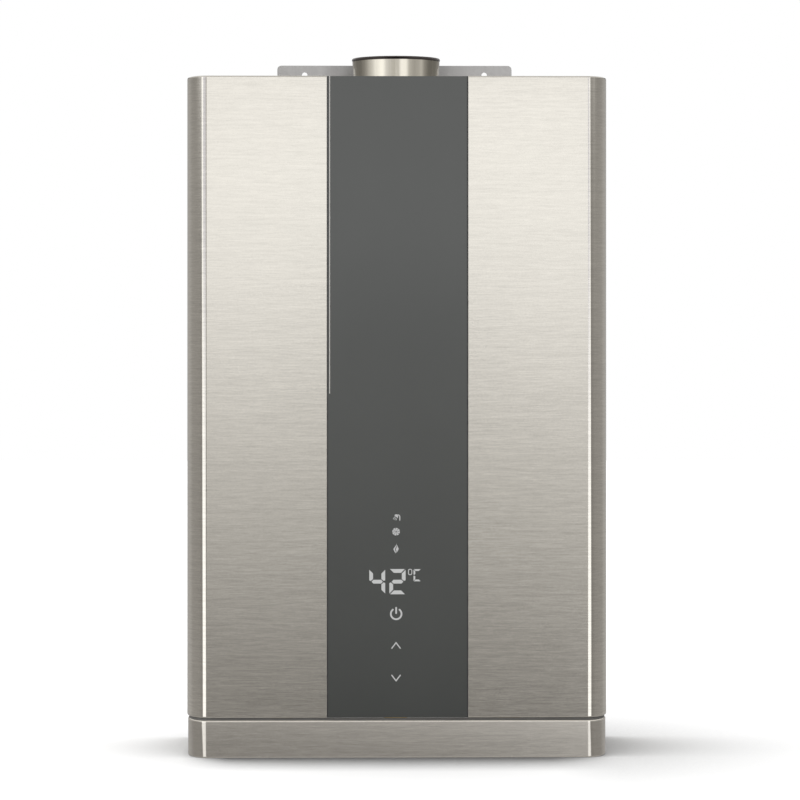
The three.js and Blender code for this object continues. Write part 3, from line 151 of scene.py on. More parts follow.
class NodeTree:
    """Builds the nodes of one material or world."""

    def __init__(self, owner: Union[bpy.types.Material, bpy.types.World]) -> None:
        """Clears the owner's nodes, ready for new ones."""
        owner.use_nodes = True
        self.tree = owner.node_tree
        self.tree.nodes.clear()

    def node(self, kind: str, settings: dict | None = None, inputs: dict | None = None) -> Node:
        """Adds a node.

        Args:
            kind: The node's Blender type.
            settings: Its properties, set first; "stops" holds a ramp's (place, colour) pairs.
            inputs: Numbers, colours or sockets by the input's name or number.

        Returns:
            The new node.
        """
        made = self.tree.nodes.new(kind)
        for name, value in (settings or {}).items():
            if name == "stops":
                self._set_stops(made.color_ramp, value)
            else:
                setattr(made, name, value)
        for name, value in (inputs or {}).items():
            self._feed(self._input(made, name), value)
        return Node(self, made)

    @staticmethod
    def _input(node: bpy.types.Node, name: Union[str, int]) -> bpy.types.NodeSocket:
        """An input by number, or the enabled one of that name.

        Args:
            node: The node that has the input.
            name: The input's name or number.

        Returns:
            The node's input socket.
        """
        if isinstance(name, int):
            return node.inputs[name]
        return next(socket for socket in node.inputs if socket.name == name and socket.enabled)

    def _feed(self, target: bpy.types.NodeSocket, value: Input) -> None:
        """Links a socket to an input, or sets the input's own value.

        Args:
            target: The input.
            value: A socket, a number, a colour or a vector.
        """
        if isinstance(value, Socket):
            self.tree.links.new(value.socket, target)
        elif isinstance(value, (int, float)):
            target.default_value = value
        elif target.type == "RGBA" and len(value) == 3:
            target.default_value = (*value, 1.0)
        else:
            target.default_value = value

    @staticmethod
    def _set_stops(ramp: bpy.types.ColorRamp, stops: Sequence[tuple[float, Colour | float]]) -> None:
        """Gives a ramp its stops, in order.

        Args:
            ramp: The ramp to fill.
            stops: Each stop's place and its colour or grey.
        """
        while len(ramp.elements) < len(stops):
            ramp.elements.new(1.0)
        for element, (place, colour) in zip(ramp.elements, stops):
            element.position = place
            grey = isinstance(colour, (int, float))
            element.color = (colour, colour, colour, 1.0) if grey else (*colour, 1.0)

    def object_point(self, stretch: Spot = (1.0, 1.0, 1.0)) -> Socket:
        """The surface point in the object's own metres, stretched along its axes."""
        place = self.node("ShaderNodeTexCoord")["Object"]
        return self.node("ShaderNodeVectorMath", {"operation": "MULTIPLY"}, {0: place, 1: stretch}).value

    def along(self, axis: str) -> Socket:
        """The surface point's place on one axis, in the object's own metres."""
        return self.node("ShaderNodeSeparateXYZ", None, {"Vector": self.object_point()})[axis]

    def grain(self, stretch: Spot, detail: float = 2.0, roughness: float = 0.5) -> Socket:
        """Noise whose scale differs along the object's axes."""
        return self.noise(self.object_point(stretch), 1.0, detail, roughness)

    def cloud(self, scale: float, detail: float = 2.0, roughness: float = 0.5) -> Socket:
        """Noise of one scale all over the object."""
        return self.noise(self.object_point(), scale, detail, roughness)

    def noise(self, point: Socket, scale: float, detail: float = 2.0, roughness: float = 0.5) -> Socket:
        """Noise between about 0 and 1 at a point.

        Args:
            point: Where it is read.
            scale: How many swells there are to a unit.
            detail: How many finer layers it has.
            roughness: How strong the finer layers are.

        Returns:
            The noise.
        """
        inputs = {"Vector": point, "Scale": scale, "Detail": detail, "Roughness": roughness}
        return self.node("ShaderNodeTexNoise", None, inputs)["Fac"]

    def mix(self, share: Input, first: Input, second: Input) -> Socket:
        """A blend of two colours."""
        inputs = {"Factor": share, "A": first, "B": second}
        return self.node("ShaderNodeMix", {"data_type": "RGBA"}, inputs).value

    def tint(self, colour: Input, brightness: Input) -> Socket:
        """A colour made lighter or darker by a factor."""
        inputs = {"Vector": colour, "Scale": brightness}
        return self.node("ShaderNodeVectorMath", {"operation": "SCALE"}, inputs).value

    def ramp(self, share: Socket, stops: Sequence[tuple[float, Colour | float]]) -> Socket:
        """A value turned into a colour by a ramp."""
        return self.node("ShaderNodeValToRGB", {"stops": stops}, {"Fac": share})["Color"]

    def remap(self, value: Socket, low: float, high: float, start: float = 0.0, end: float = 1.0) -> Socket:
        """A value carried from one range to another and held at its ends.

        Args:
            value: The value.
            low: Where the first range starts.
            high: Where the first range ends.
            start: What low becomes.
            end: What high becomes.

        Returns:
            The new value.
        """
        inputs = {"Value": value, "From Min": low, "From Max": high, "To Min": start, "To Max": end}
        return self.node("ShaderNodeMapRange", {"clamp": True}, inputs).value

    def varied(self, noise: Socket, least: float, most: float) -> Socket:
        """A noise carried to the range from least to most."""
        return self.remap(noise, *NOISE_SPAN, least, most)

    def around(self, noise: Socket, middle: float, share: float) -> Socket:
        """A value that a noise varies by a share either way."""
        return self.varied(noise, middle * (1.0 - share), middle * (1.0 + share))

    def bump(
        self, height: Socket, depth: float, strength: float = 1.0, normal: Socket | None = None
    ) -> Socket:
        """A normal bent by a height.

        Args:
            height: The height, from 0 to 1.
            depth: How many metres the full height stands for.
            strength: How strongly the normal is bent.
            normal: The normal that is bent, if not the surface's own.

        Returns:
            The bent normal.
        """
        inputs: dict = {"Height": height, "Distance": depth, "Strength": strength}
        if normal is not None:
            inputs["Normal"] = normal
        return self.node("ShaderNodeBump", None, inputs)["Normal"]

    def surface(self, inputs: dict) -> None:
        """Ends a material with one Principled shader."""
        shader = self.node("ShaderNodeBsdfPrincipled", None, inputs)
        self.node("ShaderNodeOutputMaterial", None, {"Surface": shader["BSDF"]})


# --- Finishes -----------------------------------------------------------------------------------

FINISHED: dict[str, bpy.types.Material] = {}


@dataclass(frozen=True)
class Finish:
    """A named finish of the heater; each kind fills in its own nodes."""

    name: str
    slot: str

    def nodes(self, tree: NodeTree) -> None:
        """Builds the finish's nodes."""
        raise NotImplementedError

    def material(self) -> bpy.types.Material:
        """The finish's material, made on first use."""
        if self.name not in FINISHED:
            made = bpy.data.materials.new(self.name)
            self.nodes(NodeTree(made))
            FINISHED[self.name] = made
        return FINISHED[self.name]


@dataclass(frozen=True)
class BrushedSteel(Finish):
    """Stainless steel brushed along the horizontal, with the fine grain that the brush leaves."""

    colour: Colour = (0.81, 0.78, 0.715)
    roughness: float = 0.115
    spread: float = 0.7
    # rim: heights where the painted band starts and ends, and its colour factor; below 1 it paints shade,
    # above 1 a highlight.
    rim: Spot = (0.0, 1.0, 1.0)
    scratch: Spot = (75.0, 75.0, 1000.0)
    streak: Spot = (15.0, 15.0, 460.0)
    speck: float = 620.0
    shares: Spot = (0.5, 0.3, 0.2)
    fray: float = 0.6
    contrast: float = 0.26
    gloss_share: float = 0.1
    brush_turn: float = 0.25
    relief: float = 0.000004

    def nodes(self, tree: NodeTree) -> None:
        """Builds stretched grain that varies colour, gloss and relief, and a rim band whose colour is
        scaled by height: painted shade below 1, painted highlight above 1.
        """
        scratch = tree.grain(self.scratch, roughness=self.fray)
        streak = tree.grain(self.streak, roughness=self.fray)
        scratches, streaks, specks = self.shares
        grain = scratch * scratches + streak * streaks + tree.cloud(self.speck, detail=1.0) * specks
        # Painted light on the rim: the colour is scaled with height, darker for painted shade, lighter for
        # a painted highlight.
        start, end, shade = self.rim
        rim = tree.remap(tree.along("Z"), start, end, 1.0, shade)
        tree.surface({
            "Base Color": tree.tint(self.colour, tree.around(grain, 1.0, self.contrast / 2) * rim),
            "Metallic": 1.0,
            "Roughness": tree.around(grain, self.roughness, self.gloss_share),
            "Anisotropic": self.spread,
            "Anisotropic Rotation": self.brush_turn,
            "Normal": tree.bump(scratch, self.relief),
        })


@dataclass(frozen=True)
class DarkGlass(Finish):
    """Polished glass printed dark from behind."""

    colour: Colour = (0.0505, 0.053, 0.0505)
    roughness: float = 0.08
    print_cloud: float = 9.0
    print_share: float = 0.03
    smear: Spot = (30.0, 30.0, 6.0)
    gloss_share: float = 0.2
    mirror: float = 0.6

    def nodes(self, tree: NodeTree) -> None:
        """Builds the dark print under a polished face with a trace of unevenness."""
        cloud = tree.cloud(self.print_cloud)
        smear = tree.grain(self.smear, detail=3.0)
        tree.surface({
            "Base Color": tree.tint(self.colour, tree.around(cloud, 1.0, self.print_share)),
            "Roughness": tree.around(smear, self.roughness, self.gloss_share),
            "Specular IOR Level": self.mirror,
        })


@dataclass(frozen=True)
class SheetMetal(Finish):
    """Bare or plated sheet with cloudy patches and a faint rolling grain."""

    colour: Colour = (0.62, 0.62, 0.61)
    roughness: float = 0.38
    patch_size: float = 70.0
    contrast: float = 0.14
    grain: float = 0.06
    rolling: Spot = (900.0, 900.0, 20.0)
    cloud: float = 22.0
    tone_span: Span = (0.2, 0.8)
    gloss_share: float = 0.15
    relief: float = 0.00002

    def nodes(self, tree: NodeTree) -> None:
        """Builds the plating's crystals, its rolling grain and its gloss, made uneven by wear."""
        inputs = {"Vector": tree.object_point(), "Scale": self.patch_size}
        patches = tree.node("ShaderNodeTexVoronoi", None, inputs)["Color"]
        crystal = tree.node("ShaderNodeSeparateColor", None, {"Color": patches})["Red"]
        cloud = tree.cloud(self.cloud, detail=3.0)
        half = self.contrast / 2
        shade = tree.remap(crystal * 0.5 + cloud * 0.5, *self.tone_span, 1.0 - half, 1.0 + half)
        streak = tree.around(tree.grain(self.rolling), 1.0, self.grain / 2)
        tree.surface({
            "Base Color": tree.tint(self.colour, self.wear_and_shade(tree, shade * streak)),
            "Metallic": 1.0,
            "Roughness": tree.around(cloud, self.roughness, self.gloss_share),
            "Normal": tree.bump(cloud, self.relief, strength=0.4),
        })

    def wear_and_shade(self, tree: NodeTree, tone: Socket) -> Socket:
        """The sheet's tone with any painted shade; plain sheet keeps it."""
        return tone


@dataclass(frozen=True)
class FlueShadedSheet(SheetMetal):
    """Plated sheet with painted shade towards its middle, close behind the flue."""

    shaded_to: float = 0.036
    unshaded_from: float = 0.066
    flue_shade: float = 0.6

    def wear_and_shade(self, tree: NodeTree, tone: Socket) -> Socket:
        """A tone with painted shade that falls towards the middle of the sheet."""
        # Painted shade: the colour darkens towards the middle of the sheet, behind the flue.
        away = abs(tree.along("X"))
        return tone * tree.remap(away, self.shaded_to, self.unshaded_from, self.flue_shade, 1.0)


@dataclass(frozen=True)
class FlueMetal(Finish):
    """Thin rolled tube with soft streaks up its length and a lip painted near black: painted shade."""

    colour: Colour = (0.80, 0.76, 0.66)
    lip_shade_colour: Colour = (0.10, 0.088, 0.083)
    lip_level: float = 0.0052
    lip_blend: float = 0.0002
    roughness: float = 0.13
    gloss_span: Span = (0.85, 1.25)
    contrast: float = 0.2
    streaks: Spot = (55.0, 55.0, 1.5)
    hairs: Spot = (420.0, 420.0, 6.0)
    shares: Span = (0.7, 0.3)
    swell: float = 0.05
    relief: float = 0.0002

    def nodes(self, tree: NodeTree) -> None:
        """Builds streaks that run up the tube, its slight swell and the painted shade on its lip."""
        streak, hair = tree.grain(self.streaks), tree.grain(self.hairs)
        streaks, hairs = self.shares
        shade = tree.varied(streak * streaks + hair * hairs, 1.0 - self.contrast, 1.0)
        # Painted shade: above lip_level the colour turns near black.
        lip = tree.remap(tree.along("Z"), self.lip_level, self.lip_level + self.lip_blend)
        inputs = {0: tree.node("ShaderNodeNewGeometry")["Normal"], 1: (0.0, 0.0, self.swell)}
        swollen = tree.node("ShaderNodeVectorMath", {"operation": "ADD"}, inputs).value
        soft = tree.node("ShaderNodeVectorMath", {"operation": "NORMALIZE"}, {0: swollen}).value
        least, most = self.gloss_span
        tree.surface({
            "Base Color": tree.mix(lip, tree.tint(self.colour, shade), self.lip_shade_colour),
            "Metallic": 1.0,
            "Roughness": tree.varied(hair, self.roughness * least, self.roughness * most),
            "Normal": tree.bump(streak, self.relief, strength=0.5, normal=soft),
        })


@dataclass(frozen=True)
class CastMetal(Finish):
    """Die-cast alloy with a sandy skin."""

    colour: Colour = (0.56, 0.56, 0.55)
    roughness: float = 0.5
    sand: float = 1400.0
    cloud: float = 60.0
    tones: Span = (0.9, 1.06)
    gloss_share: float = 0.15
    relief: float = 0.00006

    def nodes(self, tree: NodeTree) -> None:
        """Builds the casting's skin and its darker hollows."""
        sand = tree.cloud(self.sand, detail=3.0, roughness=0.7)
        hollows = tree.cloud(self.cloud, detail=3.0)
        tree.surface({
            "Base Color": tree.tint(self.colour, tree.varied(hollows, *self.tones)),
            "Metallic": 1.0,
            "Roughness": tree.around(sand, self.roughness, self.gloss_share),
            "Normal": tree.bump(sand, self.relief, strength=0.6),
        })


@dataclass(frozen=True)
class WarmMetal(Finish):
    """Copper or brass, lightly tarnished, and darker where it has been hot."""

    colour: Colour = (0.72, 0.36, 0.22)
    tarnish: Colour = (0.38, 0.17, 0.11)
    tarnish_share: float = 0.5
    roughness: float = 0.3
    gloss_span: Span = (0.8, 1.4)
    cloud: float = 38.0
    stain_span: Span = (0.42, 0.68)
    drawn: Spot = (260.0, 260.0, 260.0)
    shares: Span = (0.6, 0.4)
    relief: float = 0.00002

    def nodes(self, tree: NodeTree) -> None:
        """Builds cloudy tarnish over drawn metal."""
        cloud = tree.cloud(self.cloud, detail=4.0, roughness=0.6)
        drawn = tree.grain(self.drawn)
        clouds, lines = self.shares
        least, most = self.gloss_span
        stain = tree.remap(cloud, *self.stain_span, 0.0, self.tarnish_share)
        wear_and_shade = tree.varied(cloud * clouds + drawn * lines, self.roughness * least, self.roughness * most)
        tree.surface({
            "Base Color": tree.mix(stain, self.colour, self.tarnish),
            "Metallic": 1.0,
            "Roughness": wear_and_shade,
            "Normal": tree.bump(drawn, self.relief, strength=0.3),
        })


@dataclass(frozen=True)
class MouldedPlastic(Finish):
    """Moulded plastic with a fine spark-eroded texture."""

    colour: Colour = (0.018, 0.018, 0.02)
    roughness: float = 0.48
    sheen_grain: float = 1500.0
    relief: float = 0.00005
    cloud: float = 30.0
    tone_share: float = 0.08
    gloss_share: float = 0.15

    def nodes(self, tree: NodeTree) -> None:
        """Builds the mould's texture."""
        grain = tree.cloud(self.sheen_grain)
        tree.surface({
            "Base Color": tree.tint(self.colour, tree.around(tree.cloud(self.cloud), 1.0, self.tone_share)),
            "Roughness": tree.around(grain, self.roughness, self.gloss_share),
            "Normal": tree.bump(grain, self.relief, strength=0.5),
        })


@dataclass(frozen=True)
class CircuitBoard(Finish):
    """Green solder resist over copper tracks."""

    resist: Colour = (0.015, 0.10, 0.045)
    track: Colour = (0.04, 0.17, 0.07)
    track_scale: float = 210.0
    track_edge: Span = (0.04, 0.09)
    gloss: Span = (0.32, 0.24)

    def nodes(self, tree: NodeTree) -> None:
        """Builds a net of lighter tracks under the resist."""
        inputs = {"Vector": tree.object_point(), "Scale": self.track_scale}
        edge = tree.node("ShaderNodeTexVoronoi", {"feature": "DISTANCE_TO_EDGE"}, inputs)["Distance"]
        tracks = 1.0 - tree.remap(edge, *self.track_edge)
        tree.surface({
            "Base Color": tree.mix(tracks, self.resist, self.track),
            "Roughness": tree.remap(tracks, 0.0, 1.0, *self.gloss),
        })


@dataclass(frozen=True)
class LitPrint(Finish):
    """A sign lit from behind, with the faint unevenness of its light guide."""

    colour: Colour = (0.62, 0.62, 0.62)
    unlit: Colour = (0.02, 0.02, 0.02)
    roughness: float = 0.5
    cloud: float = 160.0
    glow_share: float = 0.03

    def nodes(self, tree: NodeTree) -> None:
        """Builds an even glow."""
        cloud = tree.cloud(self.cloud)
        tree.surface({
            "Base Color": self.unlit,
            "Roughness": self.roughness,
            "Specular IOR Level": 0.0,
            "Emission Color": tree.tint(self.colour, tree.around(cloud, 1.0, self.glow_share)),
            "Emission Strength": 1.0,
        })


@dataclass(frozen=True)
class ContactShade:
    """How a floor darkens near what stands on it: the reach of the shade and its strength."""

    reach: float
    power: float
    samples: int = 6

    def share(self, tree: NodeTree) -> Socket:
        """What is left of the floor's brightness, from 0 to 1."""
        settings, inputs = {"samples": self.samples}, {"Distance": self.reach}
        return tree.node("ShaderNodeAmbientOcclusion", settings, inputs)["AO"] ** self.power


@dataclass(frozen=True)
class StudioFloor(Finish):
    """The studio's white floor, darker close to what stands on it and least on the light's side."""

    brightness: float = 0.95
    contact: ContactShade = ContactShade(0.04, 0.67)
    front: ContactShade = ContactShade(0.10, 2.1)
    lit_side: ContactShade = ContactShade(0.13, 0.6)
    far_side: ContactShade = ContactShade(0.30, 1.0)
    lit_edge: Point = (-0.145, -0.185)
    far_edge: Point = (0.13, 0.185)

    def nodes(self, tree: NodeTree) -> None:
        """Builds a white floor with a soft contact shadow."""
        across = tree.along("X")
        ahead = self.contact.share(tree) * self.front.share(tree)
        left = ahead + (self.lit_side.share(tree) - ahead) * tree.remap(across, *self.lit_edge)
        shade = left + (self.far_side.share(tree) - left) * tree.remap(across, *self.far_edge)
        grey = shade * self.brightness
        colour = tree.node("ShaderNodeCombineColor", None, {"Red": grey, "Green": grey, "Blue": grey})
        shader = tree.node("ShaderNodeBsdfDiffuse", None, {"Color": colour["Color"]})
        tree.node("ShaderNodeOutputMaterial", None, {"Surface": shader["BSDF"]})


ORIGIN_HEIGHT = 592.5 * MM
COVER_FOOT = 34.0 * MM - ORIGIN_HEIGHT
TRIM_TOP = 32.0 * MM - ORIGIN_HEIGHT
ZINC_LOOK = ((0.60, 0.593, 0.585), 0.3, 160.0, 0.08, 0.04)
# The cover's lowest 1.6 mm are painted darker: painted shade on its lower rolled edge.
STEEL = BrushedSteel("cover_brushed_steel", "brushed_steel", rim=(COVER_FOOT + 1.6 * MM, COVER_FOOT, 0.62))
# The trim's top millimetre is painted lighter: a painted highlight on its upper bevel.
TRIM_STEEL = BrushedSteel(
    "satin_trim_steel", "brushed_steel", (0.69, 0.66, 0.605), 0.19, 0.6,
    (TRIM_TOP - 2.1 * MM, TRIM_TOP - 1.0 * MM, 1.44), contrast=0.14,
)
GLASS = DarkGlass("printed_dark_glass", "dark_glass")
# A light metal strip at the glass's left edge: a painted highlight.
EDGE_HIGHLIGHT = BrushedSteel("painted_glass_edge_highlight", "dark_glass", (0.80, 0.78, 0.74), 0.25, 0.0)
# A dark strip filling the gap above the trim: painted shade.
GAP_SHADE = MouldedPlastic("gap_shade_foam", "rubber", (0.10, 0.097, 0.092), 0.7)
FLUE = FlueMetal("rolled_flue_tube", "brushed_steel")
GALVANISED = SheetMetal("galvanised_sheet", "galvanised", patch_size=120.0)
ZINC = SheetMetal("zinc_plated_sheet", "zinc_plated", *ZINC_LOOK)
# The upper bracket's colour is painted darker near the flue: painted shade.
FLUE_BRACKET = FlueShadedSheet("flue_shaded_zinc", "zinc_plated", *ZINC_LOOK)
CAST = CastMetal("die_cast_alloy", "cast_alloy")
COPPER = WarmMetal("drawn_copper", "copper")
HOT_COPPER = WarmMetal("tinned_copper", "copper", (0.62, 0.40, 0.30), (0.28, 0.17, 0.14), 0.8, 0.36)
BRASS = WarmMetal("machined_brass", "brass", (0.68, 0.52, 0.24), (0.42, 0.29, 0.12), 0.35, 0.28)
BLACK = MouldedPlastic("black_moulding", "black_plastic")
WHITE = MouldedPlastic("white_moulding", "white_plastic", (0.72, 0.72, 0.69), 0.42)
DIFFUSER = MouldedPlastic("diffuser_plastic", "diffuser", (0.82, 0.82, 0.8), 0.4, 900.0, 0.00002)
BOARD = CircuitBoard("lacquered_board", "circuit_board")
RUBBER = MouldedPlastic("gasket_rubber", "rubber", (0.022, 0.022, 0.024), 0.8)
GREY = MouldedPlastic("grey_cable_sheath", "rubber", (0.20, 0.20, 0.205), 0.5)
RED = MouldedPlastic("red_wire", "rubber", (0.42, 0.025, 0.02), 0.38)
BLUE = MouldedPlastic("blue_wire", "rubber", (0.025, 0.07, 0.34), 0.38)
SPARK_LEAD = MouldedPlastic("silicone_spark_lead", "rubber", (0.30, 0.07, 0.035), 0.42)
HOSE = MouldedPlastic("silicone_hose", "rubber", (0.55, 0.54, 0.50), 0.35)
CERAMIC = MouldedPlastic("glazed_ceramic", "ceramic", (0.78, 0.75, 0.68), 0.22, 300.0, 0.00001)
DIGIT_LIGHT = LitPrint("digit_light", "diffuser", (0.515, 0.52, 0.515))
KEY_LIGHT = LitPrint("key_light", "diffuser", (0.475, 0.475, 0.475))


# --- Dressing CAD pieces and making new ones ----------------------------------------------------


class Edge(Enum):
    """How the edges of a CAD piece are shown."""

    SHARP = "sharp"
    EASED = "eased"


@dataclass(frozen=True)
class Dressing:
    """What a CAD piece gets: a finish, an edge and its rounding."""

    finish: Finish
    edge: Edge = Edge.SHARP
    rounding: float = 0.3 * MM
    smooth_below: float = 50.0
    weld_reach: float = 0.01 * MM
    bevel_steps: int = 2
    flatness: int = 80

    def apply(self, *names: str) -> None:
        """Dresses CAD nodes.

        Args:
            names: The nodes' names.
        """
        for name in names:
            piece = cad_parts[name]
            self._smooth(piece)
            piece.data.materials.clear()
            piece.data.materials.append(self.finish.material())
            log.info("dressed %s in %s", name, self.finish.name)

    def _smooth(self, piece: bpy.types.Object) -> None:
        """Joins a piece's facets into smooth faces that meet in crisp or eased edges.

        Args:
            piece: The CAD piece.
        """
        mesh = piece.data
        if "custom_normal" in mesh.attributes:
            mesh.attributes.remove(mesh.attributes["custom_normal"])
        mesh.shade_smooth()
        weld = piece.modifiers.new("weld", "WELD")
        weld.merge_threshold = self.weld_reach
        if self.edge is Edge.EASED:
            bevel = piece.modifiers.new("eased_edges", "BEVEL")
            bevel.width = self.rounding
            bevel.segments = self.bevel_steps
            bevel.limit_method = "ANGLE"
            bevel.angle_limit = math.radians(self.smooth_below)
            weighted = piece.modifiers.new("flat_faces", "WEIGHTED_NORMAL")
            weighted.weight = self.flatness
        else:
            split_edges(piece, "crisp_edges", self.smooth_below)


def split_edges(piece: bpy.types.Object, name: str, angle: float) -> None:
    """Parts a piece's faces where they meet at more than an angle in degrees."""
    piece.modifiers.new(name, "EDGE_SPLIT").split_angle = math.radians(angle)


def add_object(name: str, data: bpy.types.ID) -> bpy.types.Object:
    """Puts a mesh or a camera into the scene as an object of that name."""
    made = bpy.data.objects.new(name, data)
    bpy.context.scene.collection.objects.link(made)
    return made


def as_mesh(name: str, shape: bmesh.types.BMesh) -> bpy.types.Mesh:
    """A mesh of that name made from a shape, which is freed."""
    mesh = bpy.data.meshes.new(name)
    shape.to_mesh(mesh)
    shape.free()
    return mesh


def add_piece(name: str, shape: bmesh.types.BMesh, finish: Finish, body: str) -> bpy.types.Object:
    """Turns a shape into a piece of the scene.

    Args:
        name: The piece's name.
        shape: Its geometry in the row frame, freed here.
        finish: Its finish.
        body: The CAD body that it rides on.

    Returns:
        The new object.
    """
    bmesh.ops.recalc_face_normals(shape, faces=shape.faces)
    piece = add_object(name, as_mesh(name, shape))
    piece.data.materials.append(finish.material())
    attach(piece, body)
    log.info("made %s on %s", name, body)
    return piece


def extruded(faces: Iterable[Sequence[Vector]], push: Vector) -> bmesh.types.BMesh:
    """Flat faces joined where they meet and pushed out into a closed solid.

    Args:
        faces: The corners of each face, in the row frame.
        push: How far and which way the faces are pushed.

    Returns:
        The solid's geometry.
    """
    shape = bmesh.new()
    for corners in faces:
        shape.faces.new([shape.verts.new(corner) for corner in corners])
    bmesh.ops.remove_doubles(shape, verts=shape.verts, dist=TOUCHING)
    grown = bmesh.ops.extrude_face_region(shape, geom=shape.faces[:])["geom"]
    pushed = [item for item in grown if isinstance(item, bmesh.types.BMVert)]
    bmesh.ops.translate(shape, verts=pushed, vec=push)
    return shape


# --- The lit signs behind the glass -------------------------------------------------------------


class Segment(Enum):
    """The seven bars of a number, named by their place."""

    TOP = "top"
    UPPER_RIGHT = "upper right"
    LOWER_RIGHT = "lower right"
    BOTTOM = "bottom"
    LOWER_LEFT = "lower left"
    UPPER_LEFT = "upper left"
    MIDDLE = "middle"


FOUR = (Segment.UPPER_LEFT, Segment.UPPER_RIGHT, Segment.MIDDLE, Segment.LOWER_RIGHT)
TWO = (Segment.TOP, Segment.UPPER_RIGHT, Segment.MIDDLE, Segment.LOWER_LEFT, Segment.BOTTOM)
LETTER_C = (Segment.TOP, Segment.UPPER_LEFT, Segment.LOWER_LEFT, Segment.BOTTOM)


def moved(point: Point, shift: Point, times: float = 1.0) -> Point:
    """A point moved by a shift a number of times over."""
    return (point[0] + shift[0] * times, point[1] + shift[1] * times)


def flipped(
    points: Iterable[Point], width: float | None = None, height: float | None = None
) -> list[Point]:
    """An outline mirrored inside a cell.

    Args:
        points: The outline.
        width: The cell's width, to mirror it from side to side.
        height: The cell's height, to mirror it upside down.

    Returns:
        The mirrored outline.
    """
    return [(u if width is None else width - u, v if height is None else height - v) for u, v in points]


@dataclass(frozen=True)
class SegmentSign:
    """One seven-bar sign: its cell, its bars and which of them are lit, in millimetres."""

    left: float
    foot: float
    width: float
    height: float
    bar: float
    gap: float
    lit: tuple[Segment, ...]
    notch: float = 0.38

    def outlines(self) -> list[list[Point]]:
        """The outlines of the lit bars."""
        w, h, s, q = self.width, self.height, self.bar, self.gap
        middle = h / 2
        across = [(q, h), (w - q, h), (w - s - q, h - s), (s + q, h - s)]
        upright = [(w, h - q), (w, middle + 2 * q), (w - s * self.notch, middle + q),
                   (w - s, middle + s / 2 + q), (w - s, h - s - q)]
        crest = [(s / 2 + q / 2, middle), (s + q / 2, middle + s / 2),
                 (w - s - q / 2, middle + s / 2), (w - s / 2 - q / 2, middle)]
        waist = crest + flipped(crest[2:0:-1], height=h)
        bars = {
            Segment.TOP: across,
            Segment.BOTTOM: flipped(across, height=h),
            Segment.UPPER_RIGHT: upright,
            Segment.LOWER_RIGHT: flipped(upright, height=h),
            Segment.UPPER_LEFT: flipped(upright, width=w),
            Segment.LOWER_LEFT: flipped(upright, w, h),
            Segment.MIDDLE: waist,
        }
        return [[(self.left + u, self.foot + v) for u, v in bars[name]] for name in self.lit]


def arc(centre: Point, radius: float, start: float, end: float, steps: int = 24) -> list[Point]:
    """Points along an arc.

    Args:
        centre: Its centre.
        radius: Its radius.
        start: Its first angle, in degrees from the right, anticlockwise.
        end: Its last angle.
        steps: How many spans it has.

    Returns:
        The points, both ends included.
    """
    points = []
    for i in range(steps + 1):
        angle = math.radians(start + (end - start) * i / steps)
        points.append((centre[0] + radius * math.cos(angle), centre[1] + radius * math.sin(angle)))
    return points


def ribbon(points: Sequence[Point], width: float, bluntest: float = 0.5, cap_steps: int = 8) -> list[Point]:
    """The outline of an open line drawn with a round-ended pen.

    Args:
        points: The line.
        width: The pen's width.
        bluntest: The least cosine of half a corner's turn for which the corner is drawn out full.
        cap_steps: How many spans a round end has.

    Returns:
        The closed outline.
    """
    left: list[Point] = []
    right: list[Point] = []
    half = width / 2
    for i, (u, v) in enumerate(points):
        before = points[max(i - 1, 0)]
        after = points[min(i + 1, len(points) - 1)]
        arriving = Vector((u - before[0], v - before[1]))
        leaving = Vector((after[0] - u, after[1] - v))
        along = (arriving.normalized() + leaving.normalized()).normalized()
        reach = half / max(along.dot((leaving if leaving.length else arriving).normalized()), bluntest)
        left.append((u - along.y * reach, v + along.x * reach))
        right.append((u + along.y * reach, v - along.x * reach))
    first, last = Vector(points[0]), Vector(points[-1])
    start = Vector(points[1]) - first
    end = last - Vector(points[-2])
    start_angle = math.degrees(math.atan2(start.y, start.x))
    end_angle = math.degrees(math.atan2(end.y, end.x))
    start_cap = arc(tuple(first), half, start_angle + 270, start_angle + 90, cap_steps)[1:-1]
    end_cap = arc(tuple(last), half, end_angle + 90, end_angle - 90, cap_steps)[1:-1]
    return left + end_cap + right[::-1] + start_cap


def band(outer: Sequence[Corner], inner: Sequence[Corner]) -> list[list[Corner]]:
    """A closed band between two outlines, as a run of four-sided faces.

    Args:
        outer: Its outer outline.
        inner: Its inner outline, of as many corners.

    Returns:
        The faces' corners.
    """
    count = len(outer)
    return [[outer[i], outer[(i + 1) % count], inner[(i + 1) % count], inner[i]] for i in range(count)]


def rounded_box(centre: Point, width: float, height: float, radius: float, steps: int = 5) -> list[Point]:
    """The outline of a rectangle with rounded corners.

    Args:
        centre: Its centre.
        width: Its width.
        height: Its height.
        radius: The corners' radius.
        steps: How many spans a corner has.

    Returns:
        The outline, anticlockwise.
    """
    u, v = width / 2 - radius, height / 2 - radius
    corners = [((u, -v), 270), ((u, v), 0), ((-u, v), 90), ((-u, -v), 180)]
    points: list[Point] = []
    for (du, dv), start in corners:
        points += arc((centre[0] + du, centre[1] + dv), radius, start, start + 90, steps)
    return points


